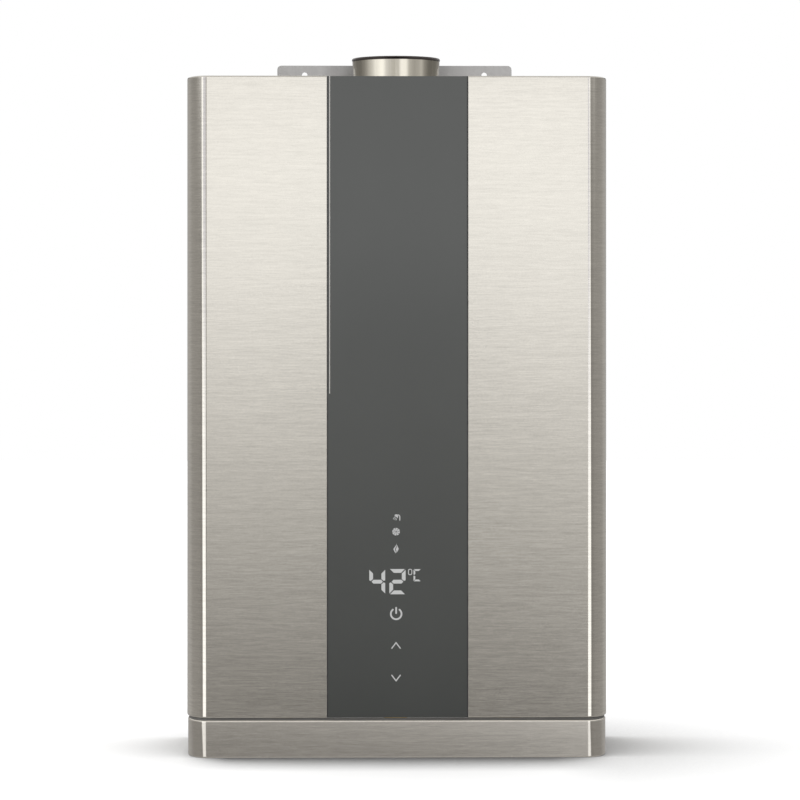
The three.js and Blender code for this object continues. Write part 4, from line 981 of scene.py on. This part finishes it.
@dataclass
class DisplaySigns:
    """The numbers and symbols that show through the glass, in millimetres over the cabinet's foot.

    Each sign is a film of its own, a hair proud of the glass and still behind the steel's face.
    """

    middle: float = -1.25
    film: float = 0.12
    sink: float = 0.03
    digit_foot: float = 139.1
    digit_height: float = 21.4
    digit_bar: float = 3.2
    digit_gap: float = 0.62
    tens_left: float = -22.75
    tens_width: float = 13.5
    units_left: float = -5.7
    units_width: float = 13.8
    letter_left: float = 14.85
    letter_foot: float = 150.1
    letter_width: float = 6.35
    letter_height: float = 10.3
    letter_bar: float = 1.5
    degree_place: Point = (12.0, 158.0)
    degree_size: Point = (3.45, 5.2)
    degree_stroke: float = 0.62
    degree_round: float = 0.42
    shower_place: Point = (0.3, 204.4)
    arm_foot: float = -2.3
    arm_bend: Point = (1.4, 0.6)
    arm_radius: float = 1.5
    arm_turn: float = 110.0
    arm_stroke: float = 0.8
    head_centre: Point = (-0.2, 0.9)
    head_radius: float = 1.75
    head_turns: Span = (140.0, 20.0)
    head_ends: tuple[Point, Point] = ((-1.5, 1.3), (1.3, -0.7))
    jets: int = 3
    jet_start: Point = (-1.4, 0.5)
    jet_pitch: Point = (0.85, -0.75)
    jet_fall: Point = (-1.3, -1.9)
    jet_spread: Point = (0.25, 0.3)
    jet_stroke: float = 0.42
    fan_place: Point = (0.0, 192.3)
    fan_radius: float = 3.15
    fan_crown: float = 0.03
    fan_hub: float = 0.5
    fan_waist: float = 0.6
    petal_rim: Span = (16.0, 6.0)
    petal_waist: Span = (9.0, -1.0)
    petal_foot: Span = (-4.0, -20.0)
    petals: int = 8
    flame_place: Point = (0.0, 173.7)
    flame_height: float = 8.6
    flame_width: float = 4.6
    tongues: tuple[tuple[Point, ...], ...] = (
        ((-0.04, 0.0), (-0.30, 0.20), (-0.50, 0.44), (-0.24, 0.64), (0.02, 0.84), (0.10, 1.0),
         (0.12, 0.78), (-0.10, 0.56), (-0.20, 0.40), (-0.06, 0.22)),
        ((0.06, 0.06), (0.06, 0.26), (-0.06, 0.42), (0.10, 0.60), (0.24, 0.80), (0.22, 0.90),
         (0.34, 0.64), (0.50, 0.46), (0.30, 0.24)),
    )
    power_place: Point = (0.1, 122.4)
    power_radius: float = 4.55
    power_stroke: float = 1.45
    power_opening: float = 38.0
    power_stem: Span = (5.2, 0.6)
    chevron_reach: float = 3.6
    chevron_rise: float = 4.7
    chevron_stroke: float = 0.95
    up_foot: float = 93.2
    down_foot: float = 65.5

    def temperature(self) -> list[list[Point]]:
        """The two numbers, the degree ring and the unit."""
        digit = (self.digit_height, self.digit_bar, self.digit_gap)
        cells = (
            SegmentSign(self.tens_left, self.digit_foot, self.tens_width, *digit, FOUR),
            SegmentSign(self.units_left, self.digit_foot, self.units_width, *digit, TWO),
            SegmentSign(self.letter_left, self.letter_foot, self.letter_width, self.letter_height,
                        self.letter_bar, self.digit_gap / 2, LETTER_C),
        )
        outlines = [outline for cell in cells for outline in cell.outlines()]
        width, height = self.degree_size
        outer = rounded_box(self.degree_place, width, height, width * self.degree_round)
        slim = 2 * self.degree_stroke
        width, height = width - slim, height - slim
        inner = rounded_box(self.degree_place, width, height, width * self.degree_round)
        return outlines + band(outer, inner)

    def shower(self) -> list[list[Point]]:
        """A shower head on its arm, with three jets."""
        place = self.shower_place
        bend = moved(place, self.arm_bend)
        side = bend[0] + self.arm_radius
        arm = [(side, place[1] + self.arm_foot), (side, bend[1])]
        arm += arc(bend, self.arm_radius, 0.0, self.arm_turn, 6)[1:]
        first, last = (moved(place, end) for end in self.head_ends)
        crown = arc(moved(place, self.head_centre), self.head_radius, *self.head_turns, 8)
        jets = []
        for i in range(self.jets):
            start = moved(moved(place, self.jet_start), self.jet_pitch, i)
            end = moved(moved(start, self.jet_fall), self.jet_spread, i)
            jets.append(ribbon([start, end], self.jet_stroke))
        return [ribbon(arm, self.arm_stroke), [first, *crown, last], *jets]

    def fan(self) -> list[list[Point]]:
        """A fan's rotor: swept petals round a hub."""
        u, v = self.fan_place
        petals = []
        pitch = 360.0 / self.petals
        for i in range(self.petals):
            start, end = i * pitch, (i + 1) * pitch
            rim = arc((u, v), self.fan_radius, start + self.petal_rim[0], end + self.petal_rim[1], 5)
            crown = [(x + (x - u) * self.fan_crown, y + (y - v) * self.fan_crown) for x, y in rim[1:-1]]
            foot = arc((u, v), self.fan_hub, end + self.petal_foot[1], start + self.petal_foot[0], 2)
            reach = self.fan_radius * self.fan_waist
            waist = arc((u, v), reach, end + self.petal_waist[1], start + self.petal_waist[0], 1)
            petals.append([rim[0], *crown, rim[-1], waist[0], *foot, waist[1]])
        return petals

    def flame(self) -> list[list[Point]]:
        """A flame in two tongues parted by a curved gap."""
        u, v = self.flame_place
        h, w = self.flame_height, self.flame_width
        return [[(u + w * a, v + h * b) for a, b in tongue] for tongue in self.tongues]

    def keys(self) -> list[list[Point]]:
        """The power sign and the two arrows."""
        u, v = self.power_place
        circle = arc((u, v), self.power_radius, 90 + self.power_opening, 450 - self.power_opening, 40)
        stem = [(u, v + rise) for rise in self.power_stem]
        reach, rise = self.chevron_reach, self.chevron_rise
        up = [(-reach, self.up_foot), (0.0, self.up_foot + rise), (reach, self.up_foot)]
        down = [(-reach, self.down_foot + rise), (0.0, self.down_foot), (reach, self.down_foot + rise)]
        return [
            ribbon(circle, self.power_stroke),
            ribbon(stem, self.power_stroke),
            ribbon(up, self.chevron_stroke),
            ribbon(down, self.chevron_stroke),
        ]

    def film_of(self, outlines: Iterable[Sequence[Point]]) -> bmesh.types.BMesh:
        """Outlines as a thin film on the glass.

        Args:
            outlines: Closed outlines in millimetres.

        Returns:
            The film's geometry in the row frame.
        """
        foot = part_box("base_trim")[0].z
        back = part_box("glass_panel")[0].y + self.sink * MM
        faces = [[Vector(((u + self.middle) * MM, back, foot + v * MM)) for u, v in outline]
                 for outline in outlines]
        return extruded(faces, Vector((0.0, -(self.film + self.sink) * MM, 0.0)))

    def build(self) -> None:
        """Makes the lit films and lays them on the glass."""
        signs = {
            "temperature_digits": (self.temperature(), DIGIT_LIGHT),
            "function_signs": (self.shower() + self.fan() + self.flame(), KEY_LIGHT),
            "touch_keys": (self.keys(), KEY_LIGHT),
        }
        for name, (outlines, finish) in signs.items():
            add_piece(name, self.film_of(outlines), finish, "cover")


# --- The heater's sub-assemblies ----------------------------------------------------------------


@dataclass
class Casing:
    """The steel cover with its glass, the base trim, the inner plates and the wall brackets."""

    sheet_rounding: float = 0.2 * MM
    sheet: float = 1.0 * MM
    bend_width: float = 17.3 * MM
    bend_depth: float = 33.3 * MM
    bend_steps: int = 12
    shade_strip_gap: float = 0.15 * MM
    shade_strip_thickness: float = 1.6 * MM
    shade_strip_sink: float = 0.1 * MM
    shade_strip_rise: float = 1.7 * MM
    joint_width: float = 0.95 * MM
    joint_relief: float = 0.06 * MM
    highlight_width: float = 0.6 * MM
    highlight_inset: float = 2.0 * MM
    highlight_length: float = 270.0 * MM

    def build(self) -> None:
        """Dresses the casing, lays the dark strip of painted shade in the trim gap, the glass joints and
        the painted highlight of the glass edge.
        """
        Dressing(STEEL, Edge.EASED, self.sheet_rounding).apply("front_cover")
        Dressing(TRIM_STEEL, Edge.EASED, self.sheet_rounding).apply("base_trim")
        Dressing(GLASS, Edge.EASED, self.sheet_rounding).apply("glass_panel")
        plates = Dressing(GALVANISED, Edge.EASED, self.sheet_rounding)
        plates.apply("back_plate", "top_plate", "bottom_plate")
        Dressing(FLUE_BRACKET, Edge.EASED, self.sheet_rounding).apply("upper_wall_bracket")
        Dressing(ZINC, Edge.EASED, self.sheet_rounding).apply("lower_wall_bracket")
        Dressing(ZINC).apply("cover_screw_left", "cover_screw_right")
        Dressing(BLACK).apply("cable_gland")
        self._trim_gap_shade()
        self._glass_joints()

    def _bent_path(self, setback: float) -> list[Point]:
        """The line that runs round three sides inside the trim.

        Args:
            setback: How far it lies behind the trim's face.

        Returns:
            The line's points, seen from above.
        """
        low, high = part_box("base_trim")
        width, depth = self.bend_width - setback, self.bend_depth - setback
        right, front = high.x - setback, low.y + setback
        points = [(right, high.y)]
        for i in range(self.bend_steps + 1):
            angle = 0.5 * math.pi * i / self.bend_steps
            out, back = width * math.cos(angle), depth * math.sin(angle)
            points.append((right - width + out, front + depth - back))
        return points + [(-x, y) for x, y in reversed(points)]

    def _trim_gap_shade(self) -> None:
        """Lays a dark strip in the gap between trim and cover: painted shade for the gap."""
        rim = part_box("base_trim")[1].z
        setback = self.sheet + self.shade_strip_gap
        outer = self._bent_path(setback)
        inner = self._bent_path(setback + self.shade_strip_thickness)
        foot = rim - self.shade_strip_sink
        faces = []
        for i in range(len(outer) - 1):
            corners = (outer[i], outer[i + 1], inner[i + 1], inner[i])
            faces.append([Vector((x, y, foot)) for x, y in corners])
        push = Vector((0.0, 0.0, self.shade_strip_sink + self.shade_strip_rise))
        add_piece("trim_gap_shade", extruded(faces, push), GAP_SHADE, "cabinet")

    def _glass_joints(self) -> None:
        """Lays the dark joints beside the glass, and a light strip on its left: a painted highlight of the
        glass edge.
        """
        low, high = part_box("glass_panel")
        joints = [self._upright(low.x, low.x + self.joint_width, low.z, high.z, low.y),
                  self._upright(high.x - self.joint_width, high.x, low.z, high.z, low.y)]
        push = Vector((0.0, -self.joint_relief, 0.0))
        add_piece("glass_joints", extruded(joints, push), RUBBER, "cover")
        # Painted highlight: a light strip just inside the glass's left edge.
        start = low.x + self.highlight_inset
        highlight_strip = [self._upright(start, start + self.highlight_width, high.z - self.highlight_length, high.z, low.y)]
        add_piece("glass_edge_highlight", extruded(highlight_strip, push), EDGE_HIGHLIGHT, "cover")

    @staticmethod
    def _upright(left: float, right: float, foot: float, top: float, face: float) -> list[Vector]:
        """An upright strip on a front face.

        Args:
            left: Its left edge.
            right: Its right edge.
            foot: Its lower edge.
            top: Its upper edge.
            face: Where the front face is.

        Returns:
            The strip's corners.
        """
        return [Vector((x, face, z)) for x, z in ((left, foot), (right, foot), (right, top), (left, top))]


@dataclass
class Display:
    """The display behind the glass: its light guide, board and tray, and the lit signs."""

    signs: DisplaySigns = field(default_factory=DisplaySigns)

    def build(self) -> None:
        """Dresses the display and lights its signs."""
        Dressing(DIFFUSER, Edge.EASED).apply("display_light_guide")
        Dressing(BOARD).apply("display_board")
        Dressing(BLACK, Edge.EASED).apply("display_tray")
        self.signs.build()


@dataclass
class FlueAndFan:
    """The flue spigot, the fan that drives the gases out and the hood that gathers them."""

    def build(self) -> None:
        """Dresses the flue and the fan."""
        Dressing(FLUE, smooth_below=20.0).apply("flue_collar")
        Dressing(RUBBER).apply("flue_gasket")
        Dressing(GALVANISED).apply("fan_housing", "exhaust_hood", "motor_plate")
        Dressing(CAST).apply("fan_impeller")
        Dressing(ZINC).apply("fan_shaft")
        Dressing(BLACK).apply("fan_motor")
        Dressing(WHITE, smooth_below=35.0).apply("pressure_switch")


@dataclass
class HeatEngine:
    """The burners, the combustion chamber with its coil, and the finned exchanger."""

    burners: int = 7

    def build(self) -> None:
        """Dresses the heat engine."""
        Dressing(HOT_COPPER).apply("heat_exchanger", "combustion_chamber", "chamber_coil")
        Dressing(CERAMIC).apply("ignition_electrode", "flame_rod")
        Dressing(ZINC).apply("thermal_cutout")
        Dressing(GALVANISED).apply("burner_box")
        Dressing(ZINC).apply(*(f"burner_bar_{i + 1}" for i in range(self.burners)))


@dataclass
class GasTrain:
    """The gas valve with its solenoids, the pipe up to the manifold and the nozzles."""

    def build(self) -> None:
        """Dresses the gas train."""
        Dressing(CAST).apply("gas_manifold")
        Dressing(CAST, Edge.EASED).apply("gas_valve_body")
        Dressing(BRASS).apply("gas_inlet_fitting")
        Dressing(BLACK).apply("gas_solenoid_left", "gas_solenoid_right")
        Dressing(ZINC).apply("gas_plunger_left", "gas_plunger_right", "gas_pipe")


@dataclass
class WaterTrain:
    """The water valve with its turbine, the two pipes and the hot outlet."""

    def build(self) -> None:
        """Dresses the water train."""
        Dressing(BRASS).apply("water_valve_body", "hot_outlet_fitting", "relief_valve")
        Dressing(BRASS, Edge.EASED).apply("inlet_filter_plug")
        Dressing(WHITE).apply("flow_turbine")
        Dressing(COPPER).apply("inlet_pipe", "outlet_pipe")


@dataclass
class Electrics:
    """The controller and the spark igniter."""

    def build(self) -> None:
        """Dresses the electrics."""
        Dressing(BLACK, Edge.EASED).apply("controller_box", "controller_lid", "igniter_module")
        Dressing(BOARD).apply("control_board")


# --- Leads and fasteners ------------------------------------------------------------------------


def eased_line(spots: Sequence[Spot], steps: int = 8) -> list[Vector]:
    """A smooth line through points.

    Args:
        spots: The points that it passes through.
        steps: How many parts each span is divided into.

    Returns:
        The line's points, both ends included.
    """
    points = [Vector(spot) for spot in spots]
    ends = [2 * points[0] - points[1], *points, 2 * points[-1] - points[-2]]
    line = []
    for a, b, c, d in zip(ends, ends[1:], ends[2:], ends[3:]):
        for i in range(steps):
            t = i / steps
            line.append(0.5 * (2 * b + (c - a) * t + (2 * a - 5 * b + 4 * c - d) * t**2
                               + (3 * b - a - 3 * c + d) * t**3))
    return line + [points[-1]]


def ring(centre: Vector, across: Vector, up: Vector, radius: float, sides: int) -> list[Vector]:
    """The corners of a regular ring.

    Args:
        centre: Its centre.
        across: The unit direction of its first corner.
        up: The unit direction a quarter turn on.
        radius: Its radius.
        sides: How many corners it has.

    Returns:
        The corners in order.
    """
    angles = [FULL_TURN * k / sides for k in range(sides)]
    return [centre + radius * (math.cos(angle) * across + math.sin(angle) * up) for angle in angles]


def add_skin(shape: bmesh.types.BMesh, rings: Iterable[Sequence[Vector]]) -> None:
    """Adds a closed skin over rings of as many corners, with flat ends.

    Args:
        shape: The shape that takes the skin.
        rings: The rings' corners, from one end to the other.
    """
    made = [[shape.verts.new(corner) for corner in corners] for corners in rings]
    for first, second in zip(made, made[1:]):
        for face in band(first, second):
            shape.faces.new(face)
    shape.faces.new(made[0][::-1])
    shape.faces.new(made[-1])


def add_tube(shape: bmesh.types.BMesh, line: Sequence[Vector], radius: float, sides: int = 12) -> None:
    """Adds a closed tube along a line to a shape, without twist.

    Args:
        shape: The shape that takes the tube.
        line: The tube's middle, in metres.
        radius: The tube's radius.
        sides: How many faces go round it.
    """
    across = (line[1] - line[0]).normalized().orthogonal().normalized()
    rings = []
    for i, spot in enumerate(line):
        along = (line[min(i + 1, len(line) - 1)] - line[max(i - 1, 0)]).normalized()
        across = (across - along * across.dot(along)).normalized()
        rings.append(ring(spot, across, along.cross(across), radius, sides))
    add_skin(shape, rings)


@dataclass(frozen=True)
class Lead:
    """A fixed wire, cable or hose inside the casing; its route is in the cabinet's millimetres."""

    name: str
    finish: Finish
    diameter: float
    routes: tuple[Route, ...]
    crisp_from: float = 60.0

    def build(self) -> None:
        """Lays the lead along its routes."""
        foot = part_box("base_trim")[0].z
        shape = bmesh.new()
        for route in self.routes:
            line = [Vector((x * MM, y * MM, z * MM + foot)) for x, y, z in eased_line(route)]
            add_tube(shape, line, self.diameter / 2 * MM)
        piece = add_piece(self.name, shape, self.finish, "cabinet")
        piece.data.shade_smooth()
        split_edges(piece, "crisp_ends", self.crisp_from)


@dataclass
class Harness:
    """The wires, the sensing hose and the boots that join the electric parts, in millimetres."""

    wire_width: float = 1.9
    sheath_width: float = 5.0
    supply_width: float = 6.6
    hose_width: float = 5.6
    boot_width: float = 9.0
    motor: Route = (
        (-150, -128, 164), (-151, -127, 182), (-159, -121, 235), (-161, -118, 330), (-160, -119, 425),
        (-148, -121, 472), (-112, -124, 496), (-78, -123, 502), (-54, -122, 503),
    )
    supply: Route = (
        (148, -50, 48), (148, -54, 62), (143, -92, 62), (118, -124, 57), (60, -137, 54), (0, -140, 53),
        (-38, -136, 56), (-52, -129, 62),
    )
    spark: Route = (
        (150, -39, 312), (152, -48, 309), (164, -66, 298), (166, -104, 280), (152, -138, 267),
        (120, -152, 262), (60, -154, 260), (4, -154, 261), (-22, -152.5, 262), (-30, -144, 262),
    )
    flame: Route = (
        (-62, -138, 165), (-66, -150, 178), (-66, -155, 200), (-44, -155, 238), (0, -154, 252),
        (24, -151, 260), (30, -142, 262),
    )
    cutout: tuple[Route, Route] = (
        ((57, -138, 396), (54, -146, 390), (36, -153, 350), (-18, -154, 290), (-50, -155, 240),
         (-70, -155, 198), (-72, -150, 178), (-70, -138, 165)),
        ((63, -138, 392), (60, -147, 386), (41, -153, 346), (-14, -154, 284), (-47, -155, 232),
         (-75, -155, 196), (-77, -150, 178), (-76, -138, 165)),
    )
    valve: tuple[Route, Route] = (
        ((-15, -110, 95), (-15, -110, 106), (-32, -118, 112), (-51, -125, 114)),
        ((15, -110, 95), (14, -110, 110), (-20, -119, 119), (-51, -126, 121)),
    )
    turbine: Route = (
        (98, -86, 84), (94, -98, 88), (60, -126, 84), (0, -138, 78), (-38, -137, 84), (-51, -130, 92),
    )
    switch: tuple[Route, Route] = (
        ((112, -33, 482), (110, -44, 470), (150, -46, 430), (165, -40, 380), (160, -30, 344)),
        ((118, -33, 482), (117, -46, 468), (155, -50, 428), (169, -42, 378), (165, -30, 344)),
    )
    power: Route = (
        (140, -38, 300), (140, -48, 292), (163, -52, 270), (166, -60, 200), (160, -80, 120),
        (130, -118, 72), (60, -130, 62), (0, -132, 62), (-38, -128, 66), (-52, -124, 70),
    )
    hose: Route = ((120, -42, 500), (119, -56, 501), (104, -72, 505), (72, -82, 507), (20, -83, 506))
    boots: tuple[Route, Route] = (
        ((-30, -139, 262), (-30, -144, 262), (-30, -151.5, 262)),
        ((30, -139, 262), (30, -144, 262), (30, -151.5, 262)),
    )

    def leads(self) -> tuple[Lead, ...]:
        """The leads, each with its finish, width and routes."""
        return (
            Lead("motor_cable", RUBBER, self.sheath_width, (self.motor,)),
            Lead("supply_cable", GREY, self.supply_width, (self.supply,)),
            Lead("spark_lead", SPARK_LEAD, self.sheath_width, (self.spark,)),
            Lead("white_wires", WHITE, self.wire_width, (self.flame, self.cutout[0], self.switch[0])),
            Lead("red_wires", RED, self.wire_width, (self.valve[0], self.cutout[1], self.turbine)),
            Lead("blue_wires", BLUE, self.wire_width, (self.valve[1], self.switch[1], self.power)),
            Lead("pressure_hose", HOSE, self.hose_width, (self.hose,)),
            Lead("electrode_boots", RUBBER, self.boot_width, self.boots),
        )

    def build(self) -> None:
        """Lays every lead."""
        for lead in self.leads():
            lead.build()


@dataclass
class Fasteners:
    """The hexagon-headed sheet screws of the sheet-metal joints, in the cabinet's millimetres."""

    across: float = 6.4
    head: float = 2.0
    head_ease: Span = (0.35, 0.45)
    washer: float = 8.4
    washer_thickness: float = 0.7
    washer_sides: int = 20
    head_sides: int = 6
    flue_centre: Spot = (0.0, -82.5, 576.6)
    flue_ring: float = 45.0
    flue_screws: int = 4
    top_row: Point = (-17.0, 572.0)
    top_columns: tuple[float, ...] = (-150.0, -75.0, 75.0, 150.0)
    flange_row: Point = (-134.0, 249.2)
    flange_columns: tuple[float, ...] = (-104.0, -78.0, -52.0, 0.0, 52.0, 78.0, 104.0)
    plate_centre: Spot = (-28.0, -107.3, 505.7)
    plate_reach: Point = (31.0, 34.0)
    lid_face: float = -148.3
    lid_columns: Span = (-166.5, -55.5)
    lid_rows: Span = (42.0, 159.5)

    def level_spots(self) -> Route:
        """Where the screws of the flue flange, top plate and burner flange stand."""
        x, y, z = self.flue_centre
        turns = [FULL_TURN * (i + 0.5) / self.flue_screws for i in range(self.flue_screws)]
        flue = tuple((x + self.flue_ring * math.cos(a), y + self.flue_ring * math.sin(a), z) for a in turns)
        top = tuple((column, *self.top_row) for column in self.top_columns)
        return flue + top + tuple((column, *self.flange_row) for column in self.flange_columns)

    def front_spots(self) -> Route:
        """Where the screws of the motor plate and the controller's lid stand."""
        x, y, z = self.plate_centre
        wide, high = self.plate_reach
        plate = tuple((x + dx, y, z + dz) for dx in (-wide, wide) for dz in (-high, high))
        return plate + tuple((x, self.lid_face, z) for x in self.lid_columns for z in self.lid_rows)

    def build(self) -> None:
        """Drives the screws that stand on level sheets and those that face forwards."""
        shape = bmesh.new()
        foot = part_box("base_trim")[0].z
        for spots, facing in ((self.level_spots(), UP), (self.front_spots(), FORWARDS)):
            for x, y, z in spots:
                self._screw(shape, Vector((x * MM, y * MM, z * MM + foot)), facing)
        add_piece("sheet_screws", shape, ZINC, "cabinet")

    def _screw(self, shape: bmesh.types.BMesh, spot: Vector, facing: Vector) -> None:
        """Adds one screw: a round collar under a hexagon head with an eased top.

        Args:
            shape: The shape that takes the screw.
            spot: Where it stands, in metres.
            facing: Which way its head points.
        """
        collar, top = self.washer_thickness, self.washer_thickness + self.head
        hexagon = self.across / math.sqrt(3)
        drop, draw = self.head_ease
        washer = ((0.0, self.washer / 2), (collar, self.washer / 2))
        head = ((collar, hexagon), (top - drop, hexagon), (top, hexagon - draw))
        across = facing.orthogonal().normalized()
        up = facing.cross(across)
        for profile, sides in ((washer, self.washer_sides), (head, self.head_sides)):
            add_skin(shape, [ring(spot + facing * height * MM, across, up, radius * MM, sides)
                             for height, radius in profile])


# --- The studio ---------------------------------------------------------------------------------

LAVENDER: Colour = (0.335, 0.335, 0.375)
PLAIN_WHITE: Colour = (1.0, 1.0, 1.0)


@dataclass
class Studio:
    """The white floor, the light all round and the camera, in metres."""

    camera_side: float = -0.05
    camera_distance: float = 3.0
    camera_height: float = 0.358
    camera_lens: float = 158.8
    camera_yaw: float = -0.995
    camera_shift: float = -0.079
    camera_sensor: float = 36.0
    camera_range: Span = (0.1, 60.0)
    floor_size: float = 14.0
    floor_cells: int = 8
    level_span: Span = (-0.5, 0.5)
    eye_blend: Span = (0.47, 0.525)
    top_blend: Span = (0.583, 0.598)
    ahead_turns: Span = (3.2, 4.9)
    ahead_blend: float = 1.6
    stand_width: Span = (0.006, 0.05)
    warmth: Span = (0.045, 0.10)
    fill: Span = (0.8, 1.85)
    gloss_glow: float = 2.0
    neutral_from: float = 0.5
    floor_glow: float = 0.22
    dome_glow: float = 0.34
    stand_side: float = 0.0166
    floor_share: Stops = ((0.10, 1.0), (0.34, 0.0), (1.0, 0.0))
    dome_share: Stops = ((0.0, 0.0), (0.66, 0.0), (0.75, 1.0))
    rise: Stops = (
        (0.0, 0.25), (0.20, 0.22), (0.28, 0.16), (0.34, 0.05), (0.385, 0.065), (0.41, 0.14),
        (0.437, 0.225), (0.465, 0.295), (0.482, 0.36), (0.503, 0.475), (0.518, 0.57), (0.53, 0.60),
        (0.575, 0.60), (0.598, 0.56), (0.625, 0.25), (0.66, 0.25), (0.75, 0.32), (1.0, 0.28),
    )
    left_boxes: tuple[Stops, Stops, Stops] = (
        ((0.0, 0.14), (0.052, 0.11), (0.075, 0.66), (0.245, 0.66), (0.285, 0.12), (0.42, 0.15),
         (0.70, 0.165), (0.78, 0.20), (1.0, 0.20)),
        ((0.0, 0.20), (0.052, 0.22), (0.075, LAVENDER), (0.185, LAVENDER), (0.205, 0.60),
         (0.245, 0.60), (0.285, 0.12), (0.42, 0.16), (0.70, 0.175), (0.78, 0.20), (1.0, 0.20)),
        ((0.0, 0.30), (0.08, 0.31), (0.15, 0.42), (0.20, 0.72), (0.33, 0.64), (0.40, 0.40),
         (0.50, 0.18), (0.60, 0.08), (1.0, 0.06)),
    )
    right_boxes: tuple[Stops, Stops, Stops] = (
        ((0.0, 0.30), (0.036, 0.40), (0.042, 0.66), (0.165, 0.66), (0.20, 0.115), (0.40, 0.15),
         (0.70, 0.165), (0.78, 0.20), (1.0, 0.20)),
        ((0.0, 0.30), (0.036, LAVENDER), (0.115, LAVENDER), (0.13, 0.55), (0.165, 0.55),
         (0.20, 0.12), (0.40, 0.16), (0.70, 0.175), (0.78, 0.20), (1.0, 0.20)),
        ((0.0, 0.30), (0.035, 0.33), (0.07, 0.68), (0.15, 0.66), (0.19, 0.36), (0.27, 0.26),
         (0.36, 0.30), (0.40, 0.36), (0.45, 0.18), (0.55, 0.07), (1.0, 0.05)),
    )
    stand_shade: Stops = (
        (0.38, 0.10), (0.455, 0.09), (0.470, 0.0), (0.486, 0.0), (0.496, 0.16), (0.518, 0.15),
        (0.528, 0.0), (1.0, 0.0),
    )

    def build(self) -> None:
        """Makes the floor, the light and the camera."""
        bpy.context.scene.view_settings.view_transform = "Standard"
        bpy.context.scene.view_settings.look = "None"
        self._floor()
        self._light()
        self._camera()

    def _floor(self) -> None:
        """Lays the floor under the base trim."""
        shape = bmesh.new()
        cells = {"x_segments": self.floor_cells, "y_segments": self.floor_cells}
        bmesh.ops.create_grid(shape, size=self.floor_size / 2, **cells)
        floor = add_object("studio_floor", as_mesh("studio_floor", shape))
        floor.location.z = CAD_BOX[0].z
        floor.data.materials.append(StudioFloor("studio_floor", "").material())
        floor.visible_glossy = False

    def _light(self) -> None:
        """Surrounds the heater with light: a white room, seen by gloss as a row of soft boxes."""
        world = bpy.data.worlds.new("studio_light")
        bpy.context.scene.world = world
        world.cycles.sampling_method = "NONE"
        tree = NodeTree(world)
        direction = tree.node("ShaderNodeTexCoord")["Generated"]
        axes = tree.node("ShaderNodeSeparateXYZ", None, {"Vector": direction})
        soft = tree.tint(PLAIN_WHITE, tree.remap(axes["X"], 1.0, -1.0, *self.fill))
        path = tree.node("ShaderNodeLightPath")
        unseen = tree.mix(path["Is Glossy Ray"], soft, self._gloss_light(tree, axes))
        colour = tree.mix(path["Is Camera Ray"], unseen, PLAIN_WHITE)
        background = tree.node("ShaderNodeBackground", None, {"Color": colour})
        tree.node("ShaderNodeOutputWorld", None, {"Surface": background["Background"]})

    def _gloss_light(self, tree: NodeTree, axes: Node) -> Socket:
        """What a glossy face sees: light above the horizon, and upright soft boxes at the sides.

        Args:
            tree: The world's nodes.
            axes: The direction's X, Y and Z.

        Returns:
            The light's colour.
        """
        forwards = 0.0 - axes["Y"]
        turn = tree.node("ShaderNodeMath", {"operation": "ARCTAN2"}, {0: abs(axes["X"]), 1: forwards}).value
        level = tree.remap(axes["Z"], *self.level_span)
        on_right = axes["X"].above(0.0)
        left = self._boxes(tree, level, turn, self.left_boxes)
        right = self._boxes(tree, level, turn, self.right_boxes)
        around = tree.mix(on_right, left, right)
        for share, glow in ((self.floor_share, self.floor_glow), (self.dome_share, self.dome_glow)):
            around = tree.mix(tree.ramp(level, share), around, self._tint_of(glow))
        least, most = (math.radians(angle) for angle in self.ahead_turns)
        edge = tree.remap(on_right, 0.0, 1.0, least, most)
        past = {"Value": turn, "From Min": edge, "From Max": edge + math.radians(self.ahead_blend)}
        ahead = 1.0 - tree.node("ShaderNodeMapRange", None, past).value
        facing = tree.mix(ahead, around, tree.ramp(level, self._tinted(self.rise)))
        away = abs(axes["X"] / forwards - self.stand_side)
        stand = tree.remap(away, *self.stand_width, 1.0, 0.0) * tree.ramp(level, self.stand_shade)
        return tree.tint(facing, self.gloss_glow - self.gloss_glow * stand)

    def _boxes(self, tree: NodeTree, level: Socket, turn: Socket, boxes: Sequence[Stops]) -> Socket:
        """The soft boxes of one side, which change with height.

        Args:
            tree: The world's nodes.
            level: The direction's height.
            turn: How far it is turned from straight ahead.
            boxes: The light round that side below, at and above eye level.

        Returns:
            The light's colour.
        """
        share = tree.remap(turn, 0.0, math.pi)
        low, high, top = (tree.ramp(share, self._tinted(stops)) for stops in boxes)
        lower = tree.mix(tree.remap(level, *self.eye_blend), low, high)
        return tree.mix(tree.remap(level, *self.top_blend), lower, top)

    def _tinted(self, stops: Stops) -> list[tuple[float, Colour]]:
        """A ramp's stops, each grey one given the room's tint."""
        return [(place, self._tint_of(value) if isinstance(value, float) else value)
                for place, value in stops]

    def _tint_of(self, value: float) -> Colour:
        """The room's tint: neutral where it is bright, warmer where it is dark."""
        dark = 1.0 - min(value / self.neutral_from, 1.0)
        green, blue = self.warmth
        return (value, value * (1.0 - green * dark), value * (1.0 - blue * dark))

    def _camera(self) -> None:
        """Places the camera level before the heater, a little to its left."""
        data = bpy.data.cameras.new("studio_camera")
        data.lens = self.camera_lens
        data.sensor_width = self.camera_sensor
        data.shift_y = self.camera_shift
        data.clip_start, data.clip_end = self.camera_range
        camera = add_object("studio_camera", data)
        _, front, foot = CAD_BOX[0]
        camera.location = (self.camera_side, front - self.camera_distance, foot + self.camera_height)
        camera.rotation_euler = (math.radians(90), 0.0, math.radians(self.camera_yaw))
        bpy.context.scene.camera = camera


def main() -> None:
    """Builds the studio and dresses each sub-assembly in turn."""
    logging.basicConfig(level=logging.INFO, format="%(name)s: %(message)s")
    for part in (Studio(), Casing(), Display(), FlueAndFan(), HeatEngine(), GasTrain(), WaterTrain(),
                 Electrics(), Harness(), Fasteners()):
        part.build()
        log.info("%s is done", type(part).__name__)


if __name__ == "__main__":
    main()
